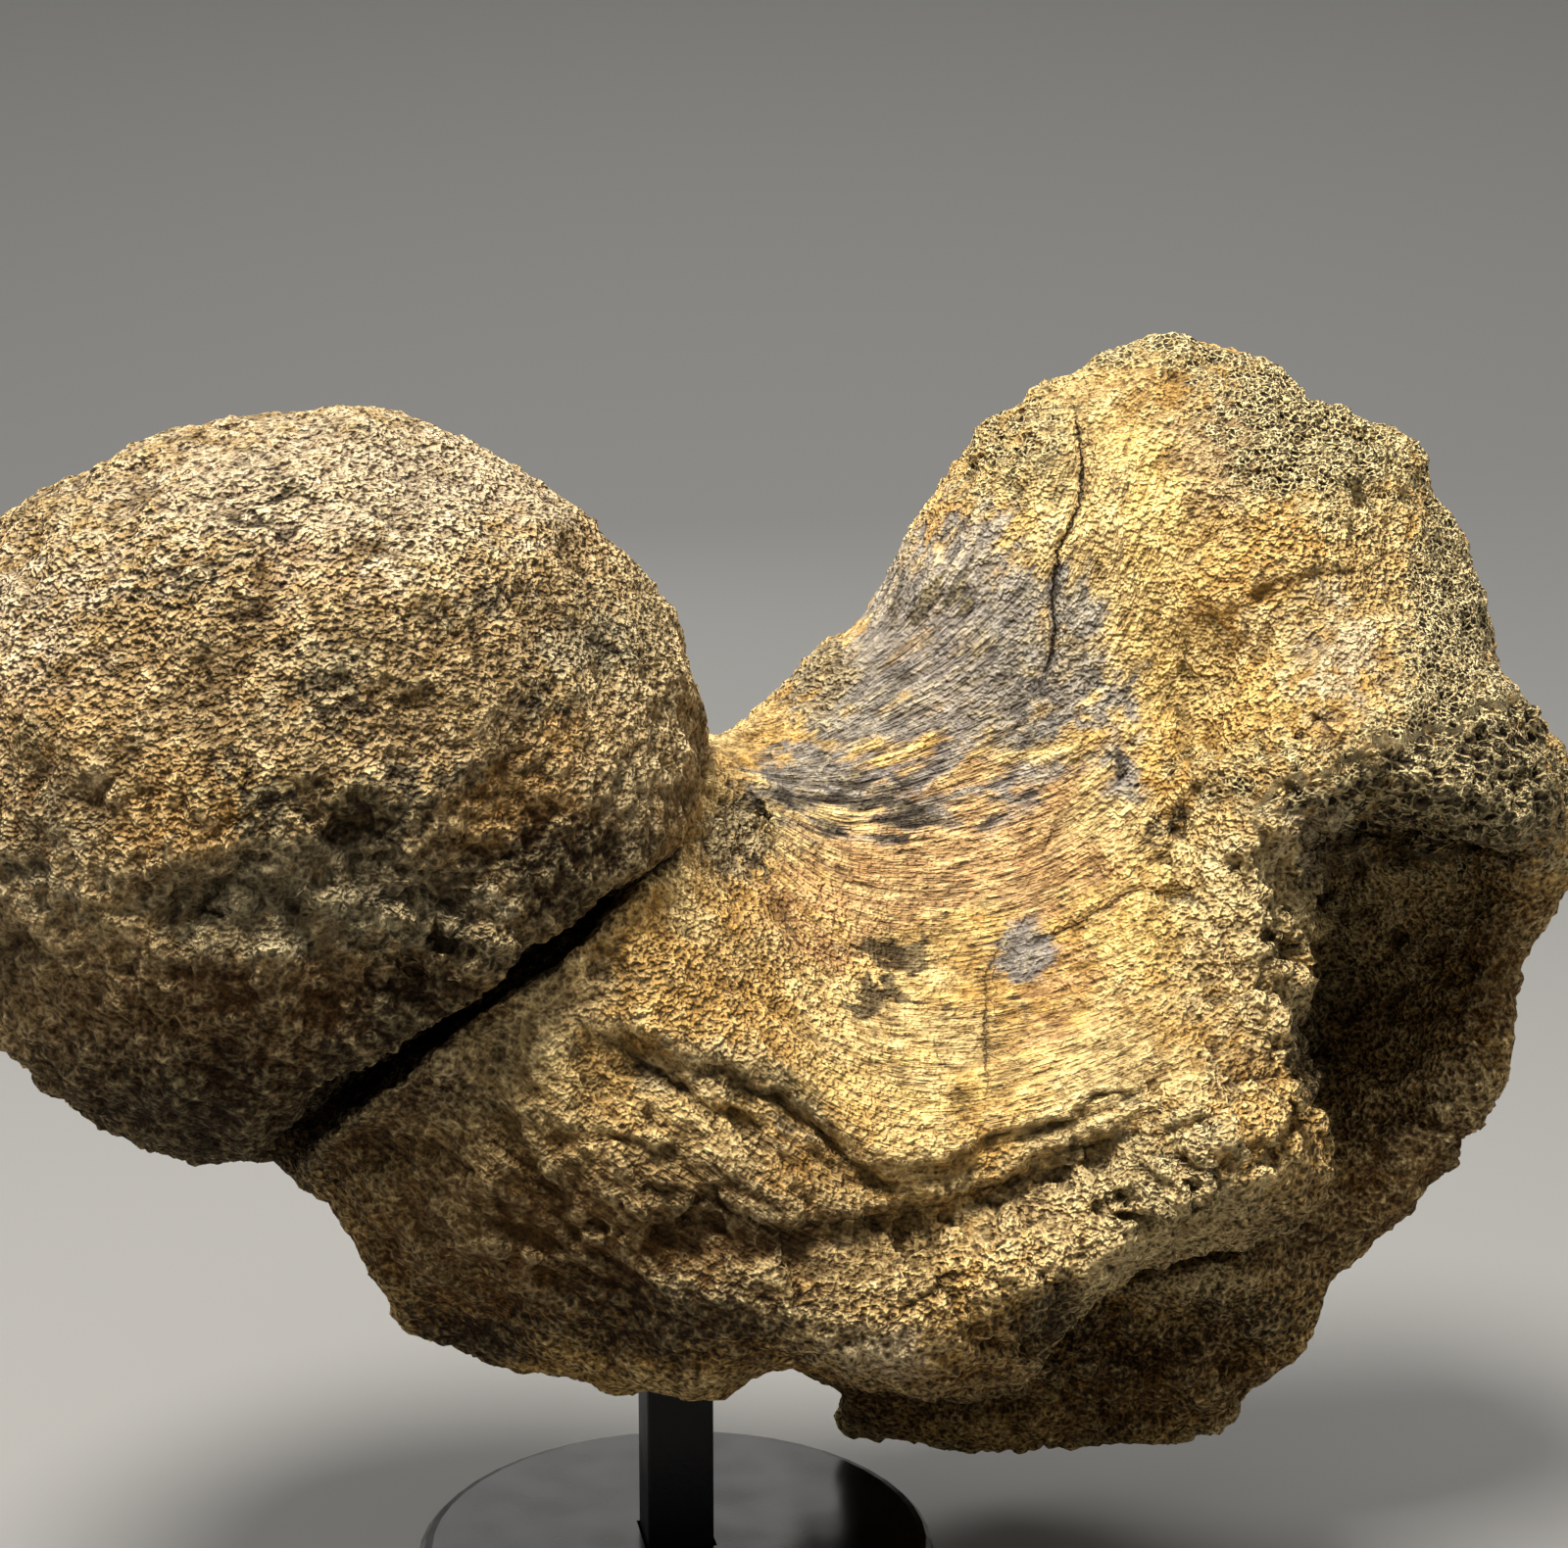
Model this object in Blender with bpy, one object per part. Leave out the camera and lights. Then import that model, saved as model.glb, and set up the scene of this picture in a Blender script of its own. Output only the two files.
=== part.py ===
"""A fossil occipital condyle with part of its braincase, on a square post and a round base."""

import math

import bmesh
import bpy
import numpy as np
from mathutils import Euler, Matrix, Vector

MM = 0.001

# Stand, in mm. The origin is the centre of the base's underside, and the post stands on the Z axis.
BASE_RADIUS = 33.0
BASE_THICKNESS = 12.0
BASE_EDGE_ROUND = 2.0
BASE_SIDES = 48
POST_WIDTH = 8.4
POST_TOP = 62.0
POST_TURN = math.radians(12)
POST_EDGE_ROUND = 0.5
POCKET_DEPTH = 5.0
GAP = 0.3

# The bone is drawn on a sight plane through the post, seen from a point in front of it.
# Places on that plane are (right, up) in mm. Depth is measured in mm along +Y from the post.
EYE = Vector((13.8, -285.2, 150.4))
EYE_PITCH = math.radians(8)
SIGHT_DISTANCE = 288.0

# Upper edge of the braincase piece, from the notch beside the ball over the wing to the right tip
UPPER_EDGE = (
    (-9.4, 2.4), (-6, 4.5), (0, 10.8), (5, 16), (9.6, 18), (12.6, 22.8), (16.2, 30), (19, 35.4),
    (21, 39.6), (25.2, 43.2), (31.2, 45.6), (34.2, 48), (37.2, 48.6), (39, 51), (43.2, 52.8),
    (48, 53.6), (51, 52.5), (54, 50.6), (58.8, 49.8), (62.4, 47.4), (66, 45), (72, 43.2),
    (76.8, 40.2), (78.4, 36), (79.2, 32.4), (82.8, 29.4), (84.4, 26.4), (86.4, 18), (88, 12),
    (91.2, 6.6), (96, 1.8), (97.4, -1.2), (97.8, -8.4),
)
# Edge of the thin far shelf, from the right tip down and back to the arch under the lobe
SHELF_EDGE = (
    (96, -13.8), (93.6, -16.2), (90, -24), (88.8, -30), (88.2, -36.6), (86.4, -40.8),
    (81.6, -45.6), (78.6, -51), (75.6, -53.4), (69.6, -59.4), (64.8, -61.2), (64.2, -66),
    (61.2, -70.8), (55.8, -75.6), (54, -80.4), (45.6, -81.2), (36, -82.2), (33.6, -81.6),
    (24, -83.4), (12, -82.2), (7.2, -79.8), (6, -77.4), (8.4, -74.6),
)
# Broken front edge of the near mass, which overhangs the far shelf
FRONT_EDGE = (
    (93, -9), (84, -8), (76, -6), (70, -5), (64, -8), (62, -14), (63, -22), (62, -30), (62, -38),
    (66, -46), (67, -51), (62, -55), (54, -58), (46, -58), (38, -63), (33, -69), (30, -74),
    (22, -76), (12, -74.6),
)
# Lower lobe, from the arch under it round its tip and up beside the ball
LOBE_EDGE = (
    (5, -73.2), (3, -72.2), (0, -71.8), (-3.6, -73.2), (-7.2, -75), (-10.2, -75.8), (-13.2, -75),
    (-19.2, -74.8), (-30, -73.8), (-38.4, -71.4), (-44.4, -69.4), (-46.8, -66), (-49.8, -60),
    (-53.4, -54), (-60, -49.2), (-60.4, -46.6), (-56.4, -44.4), (-54.6, -39.6), (-49.2, -35.8),
    (-38.4, -28.8), (-28.8, -22.2), (-19.2, -13.8), (-13.2, -9.8),
)
# Inner side of the far shelf, buried in the near mass
SHELF_ROOT = ((6, -66), (14, -50), (30, -36), (44, -18), (56, 6), (72, 14), (88, 8))

NEAR_OUTLINE = UPPER_EDGE + FRONT_EDGE + LOBE_EDGE
FAR_OUTLINE = UPPER_EDGE[-4:] + SHELF_EDGE + SHELF_ROOT

# Front of the near mass: right, up and depth
NEAR_RELIEF = (
    # along the neck, from the notch down
    (-4, 2, 2), (-1, -6, -7), (-2, -19, -24), (-5, -31, -36), (-7, -43, -42), (-10, -55, -44),
    (-12, -66, -42), (-12, -76, -34),
    # lower lobe
    (-24, -25, -37), (-36, -32, -40), (-46, -38, -38), (-54, -47, -32), (-58, -49, -26),
    (-42, -49, -38), (-45, -61, -30), (-36, -61, -34), (-24, -49, -42), (-24, -61, -39),
    (-24, -71, -32), (-42, -69, -22), (-19, -15, -32), (-13, -10, -22),
    # saddle
    (10, 12, 8), (18, 8, 3), (30, 8, 1), (42, 8, -1), (6, 4, 2), (18, -1, -1), (30, 0, -2),
    (41, -2, -6), (6, -13, -13), (18, -13, -9), (30, -13, -9), (42, -14, -13),
    # below the saddle
    (12, -22, -17), (24, -22, -15), (36, -22, -17), (8, -31, -28), (24, -31, -24), (42, -31, -27),
    (14, -41, -36), (26, -41, -33), (42, -43, -35), (10, -50, -41), (24, -50, -38), (42, -53, -40),
    (8, -61, -43), (24, -61, -43), (36, -60, -39), (4, -70, -44), (14, -73, -44), (22, -72, -42),
    # wing
    (14, 20, 13), (22, 24, 9), (33, 20, 5), (41, 23, 4), (51, 13, 3), (21, 36, 20), (32, 37, 13),
    (42, 37, 11), (48, 37, 11), (60, 36, 6), (70, 36, 10), (78, 33, 18), (26, 42, 20),
    (38, 47, 20), (48, 51, 22), (60, 46, 17),
    # pillow and the ridge to the tip
    (60, 21, -3), (68, 20, -3), (60, 11, -10), (72, 12, -8), (82, 18, 4), (86, 18, 10),
    (53, 0, -13), (63, 0, -16), (72, 1, -15), (84, -1, -10), (95, -5, 2), (72, -7, -12),
    # front mass
    (54, -8, -14), (58, -19, -19), (60, -31, -25), (60, -43, -31), (64, -48, -28), (54, -50, -37),
    (50, -57, -35),
)
# Front of the far shelf, which is the back wall of the right hollow
FAR_RELIEF = (
    (72, -13, 18), (66, -19, 26), (78, -19, 22), (86, -13, 12), (92, -13, 9), (72, -31, 24),
    (84, -31, 13), (78, -40, 12), (70, -49, 10), (66, -56, 9), (60, -68, 7), (48, -68, 10),
    (36, -74, 9), (24, -80, 11), (12, -78, 12), (54, -78, 12), (40, -80, 13), (20, -60, 12),
    (40, -50, 16), (60, 0, 24), (40, -20, 26), (76, 10, 28), (10, -70, 12),
)
# Back of both
BACK_RELIEF = (
    (-52, -48, -4), (-40, -62, -2), (-34, -38, 16), (-12, -30, 34), (-12, -58, 28), (-26, -66, 12),
    (10, -30, 42), (10, -55, 46), (30, -28, 47), (32, -50, 53), (50, -32, 50), (50, -54, 54),
    (68, -34, 52), (84, -30, 38), (62, -66, 42), (30, -72, 44), (10, -74, 36), (0, 0, 30),
    (4, -12, 34), (14, 14, 34), (24, 28, 38), (40, 20, 42), (58, 20, 46), (72, 6, 50), (82, 14, 42),
    (92, -5, 32), (40, 40, 44), (60, 36, 46), (72, 34, 44), (48, 51, 44), (28, -8, 38),
    (46, -8, 41), (62, -12, 44), (78, -12, 46), (24, -82, 30), (50, -80, 34),
)
# Flat broken faces on the back: a place, the depth there, and its change per mm to the right and up
BACK_BREAKS = (
    ("lower right", (52, -46), 44, -0.30, 0.42),
    ("middle", (38, -14), 43, 0.06, -0.06),
    ("above the lobe", (-6, -48), 27, 0.55, 0.10),
    ("wing", (48, 34), 40, 0.10, -0.12),
    ("under the tip", (84, -8), 33, -0.85, 0.05),
)
EDGE_ROUND = 7.0
THINNEST = 6.0

# Ball and neck, in world mm: centre and half sizes
BALL_FORMS = (
    ("ball", (-41.6, -12, 110.6), (46.9, 44, 43.8)),
    ("ball heel", (-54, -12, 76.5), (15.5, 15, 10.5)),
)
NECK_FORMS = (("neck", (-16, 6, 86), (34, 26, 32)),)

# Crack between the ball and the lower lobe: places, widths there and the depth of its floor
CRACK = (
    (-66, -54), (-59, -44), (-54, -39), (-48, -35.4), (-39, -29), (-31, -23.6), (-19, -13),
    (-12.5, -8.6),
)
CRACK_WIDTHS = (7, 5, 3.6, 3.0, 3.0, 3.2, 2.8, 1.8)
CRACK_MOUTH = -75
CRACK_FLOOR = -20

# Broken ledges: path with the fallen side on its right, drop and the width of the fallen strip
FRONT_LEDGES = (
    ("saddle edge", ((-23.2, -28.8), (-7.2, -35.4), (0.1, -38), (6.2, -43.6), (13, -49.1),
                     (19.2, -47.4), (25.8, -44.8), (34.8, -43.2)), 3.0, 10),
    ("deep ledge", ((-14, -49.7), (-7.2, -53.4), (-1.2, -55.2), (7.4, -54), (19.7, -52.1),
                    (30, -47.9), (42, -40.8), (48, -37.8)), 4.2, 12),
    ("pillow lip", ((55, 22.5), (60, 24.6), (66, 26.4), (72, 27.2), (77, 24), (79, 19)), 2.6, 10),
    ("neck lip", ((-4.8, 0), (-1.2, -6), (0, -12.6), (-8, -10.5), (-13.2, -9.6)), 3.0, 9),
    ("lobe hollow", ((-46, -62), (-40, -63), (-33, -66), (-27, -71), (-20, -75)), 4.0, 9),
    ("knob foot", ((33, -57), (40, -53.5), (47, -53), (54, -54), (60, -50)), 2.0, 8),
    ("ball break", ((-97, -9), (-82, -14), (-68, -13), (-58, -8), (-48, -9), (-36, -16)), 2.2, 15),
    ("ball lip", ((-60, -19), (-50, -22.5), (-40, -25.5), (-34, -23)), 3.0, 8),
)
# Grooves: path, half width and depth
FRONT_GROOVES = (
    ("crease", ((51, 18), (49.2, 10.8), (48.6, 3.6), (46, -3), (42, -8.4)), 2.4, 3.0),
    ("crease by the knob", ((53, -3), (50, -7), (47, -10)), 2.2, 3.0),
    ("wing crack", ((37.2, 46.8), (37.4, 38.4), (36.6, 31.2), (33.6, 24), (33, 10.8)), 1.4, 1.2),
    ("shelf valley", ((66, -40), (70, -30), (70, -18)), 6.0, 3.0),
    ("under the tip", ((64, -11), (74, -10), (84, -12)), 4.0, 3.0),
)
# Lumps, and pits where the height is negative: place, half sizes and height
FRONT_LUMPS = (
    ("knob", (42, -9.6), (3.6, 3.2), 2.6),
    ("rough knob", (49, -46), (15, 9), 3.4),
    ("knob shoulder", (59, -44), (5, 7), 2.6),
    ("lobe shoulder", (-2, -63), (7, 8), 2.4),
    ("wing crest", (46, 44), (12, 7), 2.0),
    ("spongy corner", (68, 32), (9, 7), 2.2),
    ("tip ridge", (84, -2), (12, 5), 2.2),
    ("pillow dent", (60, 4), (7, 4), -1.6),
    ("hole", (49, -14.4), (2.6, 2.2), -2.6),
    ("saddle pit", (13, -21), (5, 3), -1.6),
    ("ball recess", (-48, -19.5), (6, 3.4), -4.2),
    ("ball pit", (-53, -8), (3.4, 2.6), -2.6),
    ("ball dent", (-72, -17), (8, 4), -2.2),
    ("ball crown", (-42, 26), (14, 8), 1.4),
    ("ball flat", (-78, 14), (16, 14), -1.6),
    ("shelf dent", (80, -28), (7, 6), -2.2),
    ("shelf knob", (84, -38), (5, 4), 2.2),
)
BACK_LEDGES = (
    ("back break", ((86, -18), (70, -26), (50, -22), (30, -20), (12, -26), (2, -36)), 3.5, 14),
    ("back wing edge", ((30, 34), (42, 26), (56, 24), (70, 26)), 3.0, 12),
)
BACK_LUMPS = (
    ("back hollow", (60, -2), (16, 7), -4.0),
    ("back neck groove", (16, -4), (16, 7), -3.0),
    ("back boss", (44, -58), (16, 10), 3.0),
    ("back knob", (18, -52), (9, 8), 2.6),
    ("back dent", (70, -48), (9, 8), -3.4),
    ("lobe dent", (-22, -50), (12, 9), -3.6),
    ("ball back flat", (-62, 6), (15, 12), -1.8),
    ("ball back pit", (-40, -18), (7, 5), -2.4),
)
CLIFF = 2.0

# Unevenness all over: size of the lumps, their height, and how much of it the smooth saddle keeps
LUMPS_OVERALL = (("swells", 15.0, 1.8), ("lumps", 6.0, 1.0))
SMOOTH_PATCHES = (((20, -2), (24, 20), 0.75), ((24, 20), (12, 16), 0.6), ((12, -24), (16, 12), 0.5))

# Grid and skin sizes in mm, rounds of softening after each, and the triangles left at the end
GRID = 1.4
FIRST_VOXEL = 1.5
FIRST_ROUNDS = 5
FINE_VOXEL = 1.0
FINE_ROUNDS = 2
CARVED_ROUNDS = 2
BONE_TRIANGLES = 8900


def clear_scene():
    for obj in list(bpy.data.objects):
        bpy.data.objects.remove(obj, do_unlink=True)


def material(name, colour, roughness, metallic=0.0):
    made = bpy.data.materials.new(name)
    made.use_nodes = True
    shader = made.node_tree.nodes["Principled BSDF"]
    shader.inputs["Base Color"].default_value = (*colour, 1.0)
    shader.inputs["Roughness"].default_value = roughness
    shader.inputs["Metallic"].default_value = metallic
    made.diffuse_color = (*colour, 1.0)
    return made


def along_sight(right, up, depth):
    """World point at this depth, on the line of sight through (right, up)."""
    across, rise = right / SIGHT_DISTANCE, up / SIGHT_DISTANCE
    ray_y = math.cos(EYE_PITCH) + rise * math.sin(EYE_PITCH)
    ray_z = -math.sin(EYE_PITCH) + rise * math.cos(EYE_PITCH)
    reach = (depth - EYE.y) / ray_y
    return Vector((EYE.x + reach * across, depth, EYE.z + reach * ray_z)) * MM


def on_sight_plane(points):
    """(right, up) of world points, as rows."""
    offset = points / MM - np.array(EYE)
    ahead = offset[:, 1] * math.cos(EYE_PITCH) - offset[:, 2] * math.sin(EYE_PITCH)
    rise = offset[:, 1] * math.sin(EYE_PITCH) + offset[:, 2] * math.cos(EYE_PITCH)
    return SIGHT_DISTANCE * np.column_stack([offset[:, 0], rise]) / ahead[:, None]


def plate_kernel(a, b):
    squared = ((a[:, None] - b[None]) ** 2).sum(-1)
    return 0.5 * squared * np.log(squared + 1e-9)


def plate_through(points, slack=25.0):
    """A thin plate bent through (right, up, depth) points, as a function of (right, up) rows."""
    table = np.array(points, float)
    places, depths = table[:, :2], table[:, 2]
    count = len(table)
    system = np.zeros((count + 3, count + 3))
    system[:count, :count] = plate_kernel(places, places) + slack * np.eye(count)
    flat = np.hstack([np.ones((count, 1)), places])
    system[:count, count:] = flat
    system[count:, :count] = flat.T
    weights = np.linalg.solve(system, np.concatenate([depths, np.zeros(3)]))

    def depth_at(where):
        bent = plate_kernel(where, places) @ weights[:count]
        return bent + weights[count] + where @ weights[count + 1 :]

    return depth_at


def beside_path(where, path):
    """Distance of each row from a chain of straight stretches, its side (1 on the right), and
    how far along the chain the nearest point lies, from its nearer end."""
    nearest = np.full(len(where), np.inf)
    side = np.ones(len(where))
    run = np.zeros(len(where))
    corners = np.array(path, float)
    lengths = np.linalg.norm(np.diff(corners, axis=0), axis=1)
    starts = np.concatenate([[0], np.cumsum(lengths)])
    for i, length in enumerate(lengths):
        along = (corners[i + 1] - corners[i]) / length
        offset = where - corners[i]
        reach = np.clip(offset @ along, 0, length)
        distance = np.linalg.norm(offset - reach[:, None] * along, axis=1)
        closer = distance < nearest
        nearest = np.where(closer, distance, nearest)
        turn = offset[:, 0] * along[1] - offset[:, 1] * along[0]
        side = np.where(closer, np.where(turn > 0, 1.0, -1.0), side)
        place = starts[i] + reach
        run = np.where(closer, np.minimum(place, starts[-1] - place), run)
    return nearest, side, run


def edge_fall(where, outline):
    """How far an edge of EDGE_ROUND falls back near the outline."""
    distance, _, _ = beside_path(where, outline + outline[:1])
    inward = np.clip(1 - distance / EDGE_ROUND, 0, 0.999)
    return EDGE_ROUND * (1 - np.sqrt(1 - inward**2))


def object_from(bm, name):
    mesh = bpy.data.meshes.new(name)
    bm.to_mesh(mesh)
    bm.free()
    obj = bpy.data.objects.new(name, mesh)
    bpy.context.scene.collection.objects.link(obj)
    return obj


def relief_slab(name, outline, front, back):
    """A closed slab over a grid on the sight plane, between two bent plates."""
    corners = np.array(outline, float)
    low, high = corners.min(0) - 4, corners.max(0) + 4
    columns, rows = (int(n) for n in np.ceil((high - low) / GRID))
    rights = np.linspace(low[0], high[0], columns)
    ups = np.linspace(low[1], high[1], rows)
    where = np.array([(r, u) for u in ups for r in rights])
    fall = edge_fall(where, outline)
    near = front(where) + fall
    far = np.maximum(back(where) - fall, near + THINNEST)
    bm = bmesh.new()
    sheets = [
        [bm.verts.new(along_sight(r, u, d)) for (r, u), d in zip(where, depths)]
        for depths in (near, far)
    ]
    for sheet in sheets:
        for j in range(rows - 1):
            for i in range(columns - 1):
                low_left = j * columns + i
                quad = (low_left, low_left + 1, low_left + columns + 1, low_left + columns)
                bm.faces.new([sheet[k] for k in quad])
    rim = list(range(columns))
    rim += [(j + 1) * columns - 1 for j in range(1, rows)]
    rim += [(rows - 1) * columns + i for i in range(columns - 2, -1, -1)]
    rim += [j * columns for j in range(rows - 2, 0, -1)]
    for a, b in zip(rim, rim[1:] + rim[:1]):
        bm.faces.new((sheets[0][b], sheets[0][a], sheets[1][a], sheets[1][b]))
    bmesh.ops.recalc_face_normals(bm, faces=bm.faces)
    return object_from(bm, name)


def prism(name, outline, near, far):
    """The outline carried along the lines of sight between two depths."""
    bm = bmesh.new()
    front = [bm.verts.new(along_sight(r, u, near)) for r, u in outline]
    back = [bm.verts.new(along_sight(r, u, far)) for r, u in outline]
    bm.faces.new(front)
    bm.faces.new(reversed(back))
    for i in range(len(outline)):
        j = (i + 1) % len(outline)
        bm.faces.new((front[j], front[i], back[i], back[j]))
    bmesh.ops.recalc_face_normals(bm, faces=bm.faces)
    bmesh.ops.triangulate(bm, faces=bm.faces)
    return object_from(bm, name)


def crack_outline():
    left, right = [], []
    for i, (place, width) in enumerate(zip(CRACK, CRACK_WIDTHS)):
        before, after = CRACK[max(i - 1, 0)], CRACK[min(i + 1, len(CRACK) - 1)]
        along = Vector((after[0] - before[0], after[1] - before[1])).normalized()
        side = Vector((-along.y, along.x)) * width / 2
        left.append((place[0] + side.x, place[1] + side.y))
        right.append((place[0] - side.x, place[1] - side.y))
    return left + right[::-1]


def boolean(obj, operation, other):
    modifier = obj.modifiers.new(operation.lower(), "BOOLEAN")
    modifier.operation = operation
    modifier.object = other
    other.hide_render = True
    other.display_type = "WIRE"


def soften(obj, rounds):
    smooth = obj.modifiers.new("soften", "SMOOTH")
    smooth.iterations = rounds


def fuse(obj, voxel, rounds):
    """Joins overlapping shapes into one skin and softens it."""
    remesh = obj.modifiers.new("fuse", "REMESH")
    remesh.mode = "VOXEL"
    remesh.voxel_size = voxel * MM
    soften(obj, rounds)


def bake(obj):
    """Applies the object's modifiers."""
    graph = bpy.context.evaluated_depsgraph_get()
    mesh = bpy.data.meshes.new_from_object(obj.evaluated_get(graph))
    obj.modifiers.clear()
    obj.data = mesh


def broken_back():
    """Depth of the back: a bent plate cut off by flat broken faces."""
    plate = plate_through(BACK_RELIEF)

    def depth_at(where):
        depth = plate(where)
        for _, place, middle, to_right, upward in BACK_BREAKS:
            offset = where - np.array(place)
            depth = np.minimum(depth, middle + offset @ np.array((to_right, upward)))
        return depth

    return depth_at


def near_and_far_masses():
    back = broken_back()
    masses = []
    for name, outline, relief in (
        ("near_mass", NEAR_OUTLINE, NEAR_RELIEF),
        ("far_shelf", FAR_OUTLINE, FAR_RELIEF),
    ):
        mass = relief_slab(name, outline, plate_through(relief), back)
        boolean(mass, "INTERSECT", prism(name + "_edge", outline, -70, 80))
        bake(mass)
        masses.append(mass)
    return masses


def rough_bone():
    """Ball, neck, near mass and far shelf as one skin, parted by the crack."""
    masses = near_and_far_masses()
    bm = bmesh.new()
    for _, centre, half_sizes in BALL_FORMS + NECK_FORMS:
        place = Matrix.LocRotScale(Vector(centre) * MM, None, Vector(half_sizes) * MM)
        bmesh.ops.create_icosphere(bm, subdivisions=4, radius=1.0, matrix=place)
    for mass in masses:
        bm.from_mesh(mass.data)
        bpy.data.objects.remove(mass, do_unlink=True)
    bone = object_from(bm, "occipital_condyle")
    fuse(bone, FIRST_VOXEL, FIRST_ROUNDS)
    bake(bone)
    boolean(bone, "DIFFERENCE", prism("crack", crack_outline(), CRACK_MOUTH, CRACK_FLOOR))
    fuse(bone, FINE_VOXEL, FINE_ROUNDS)
    bake(bone)
    return bone


def hump(where, place, half_sizes):
    offset = (where - np.array(place)) / np.array(half_sizes)
    return np.exp(-(offset**2).sum(1))


def recess_of(where, ledges, grooves, lumps):
    """How far the surface is pushed in at each (right, up) row."""
    recess = np.zeros(len(where))
    for _, path, drop, reach in ledges:
        distance, side, run = beside_path(where, path)
        cliff = np.clip(side * distance / CLIFF, 0, 1)
        recess += drop * cliff * np.exp(-((distance / reach) ** 2)) * np.clip(run / 5, 0, 1)
    for _, path, half_width, depth in grooves:
        distance, _, _ = beside_path(where, path)
        recess += depth * np.exp(-((distance / half_width) ** 2))
    for _, place, half_sizes, height in lumps:
        recess -= height * hump(where, place, half_sizes)
    return recess


def carve(bone):
    """Pushes ledges, grooves, lumps and pits into the front and the back along the lines of sight."""
    mesh = bone.data
    count = len(mesh.vertices)
    points, normals = np.empty(count * 3), np.empty(count * 3)
    mesh.vertices.foreach_get("co", points)
    mesh.vertices.foreach_get("normal", normals)
    points, normals = points.reshape(-1, 3), normals.reshape(-1, 3)
    sight = points / MM - np.array(EYE)
    sight /= np.linalg.norm(sight, axis=1)[:, None]
    facing = -(normals * sight).sum(1)
    where = on_sight_plane(points)
    push = recess_of(where, FRONT_LEDGES, FRONT_GROOVES, FRONT_LUMPS) * np.clip(facing, 0, 1)
    push -= recess_of(where, BACK_LEDGES, (), BACK_LUMPS) * np.clip(-facing, 0, 1)
    points += sight * (push * MM)[:, None]
    mesh.vertices.foreach_set("co", points.ravel())
    mesh.update()
    return where, facing


def roughen(bone, where, facing):
    """Uneven lumps all over, milder on the smooth saddle."""
    strength = np.ones(len(where))
    for place, half_sizes, taken in SMOOTH_PATCHES:
        strength -= taken * hump(where, place, half_sizes) * (facing > 0)
    group = bone.vertex_groups.new(name="rough")
    for i, weight in enumerate(np.clip(strength, 0.15, 1)):
        group.add([i], float(weight), "REPLACE")
    for name, size, height in LUMPS_OVERALL:
        noise = bpy.data.textures.new(name, "CLOUDS")
        noise.noise_scale = size * MM
        noise.noise_depth = 1
        displace = bone.modifiers.new(name, "DISPLACE")
        displace.texture = noise
        displace.texture_coords = "LOCAL"
        displace.strength = height * 2 * MM
        displace.mid_level = 0.5
        displace.vertex_group = "rough"


def box(name, width, low, high):
    bm = bmesh.new()
    place = Matrix.LocRotScale(
        Vector((0, 0, (low + high) / 2)) * MM,
        Euler((0, 0, POST_TURN)),
        Vector((width, width, high - low)) * MM,
    )
    bmesh.ops.create_cube(bm, size=1.0, matrix=place)
    return object_from(bm, name)


def round_edges(obj, width, segments):
    bevel = obj.modifiers.new("rounded edges", "BEVEL")
    bevel.width = width * MM
    bevel.segments = segments
    bevel.limit_method = "ANGLE"
    bevel.angle_limit = math.radians(40)


def make_bone():
    bone = rough_bone()
    where, facing = carve(bone)
    roughen(bone, where, facing)
    soften(bone, CARVED_ROUNDS)
    bake(bone)
    facets = bone.modifiers.new("facets", "DECIMATE")
    facets.ratio = BONE_TRIANGLES / sum(len(face.vertices) - 2 for face in bone.data.polygons)
    bake(bone)
    bone.vertex_groups.clear()
    boolean(bone, "DIFFERENCE", box("post_socket", POST_WIDTH + 2 * GAP, 20, POST_TOP + GAP))
    bone.data.materials.clear()
    bone.data.materials.append(material("fossil bone", (0.42, 0.29, 0.13), 0.85))
    bone.data.shade_smooth()
    bone.data.set_sharp_from_angle(angle=math.radians(50))
    return bone


def make_post():
    post = box("stand_post", POST_WIDTH, BASE_THICKNESS - POCKET_DEPTH + GAP, POST_TOP)
    round_edges(post, POST_EDGE_ROUND, 2)
    post.data.materials.append(material("black painted steel", (0.012, 0.012, 0.014), 0.45, 0.0))
    return post


def make_base():
    bm = bmesh.new()
    bmesh.ops.create_cone(
        bm,
        cap_ends=True,
        segments=BASE_SIDES,
        radius1=BASE_RADIUS * MM,
        radius2=BASE_RADIUS * MM,
        depth=BASE_THICKNESS * MM,
        matrix=Matrix.Translation((0, 0, BASE_THICKNESS / 2 * MM)),
    )
    base = object_from(bm, "stand_base")
    round_edges(base, BASE_EDGE_ROUND, 3)
    pocket = box("post_pocket", POST_WIDTH + 2 * GAP, BASE_THICKNESS - POCKET_DEPTH, 30)
    boolean(base, "DIFFERENCE", pocket)
    base.data.materials.append(material("black lacquer", (0.01, 0.01, 0.012), 0.25))
    base.data.shade_smooth()
    base.data.set_sharp_from_angle(angle=math.radians(35))
    return base


clear_scene()
make_bone()
make_post()
make_base()
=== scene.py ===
import math

import bpy
import numpy as np
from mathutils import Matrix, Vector, noise
from mathutils.bvhtree import BVHTree


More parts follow.
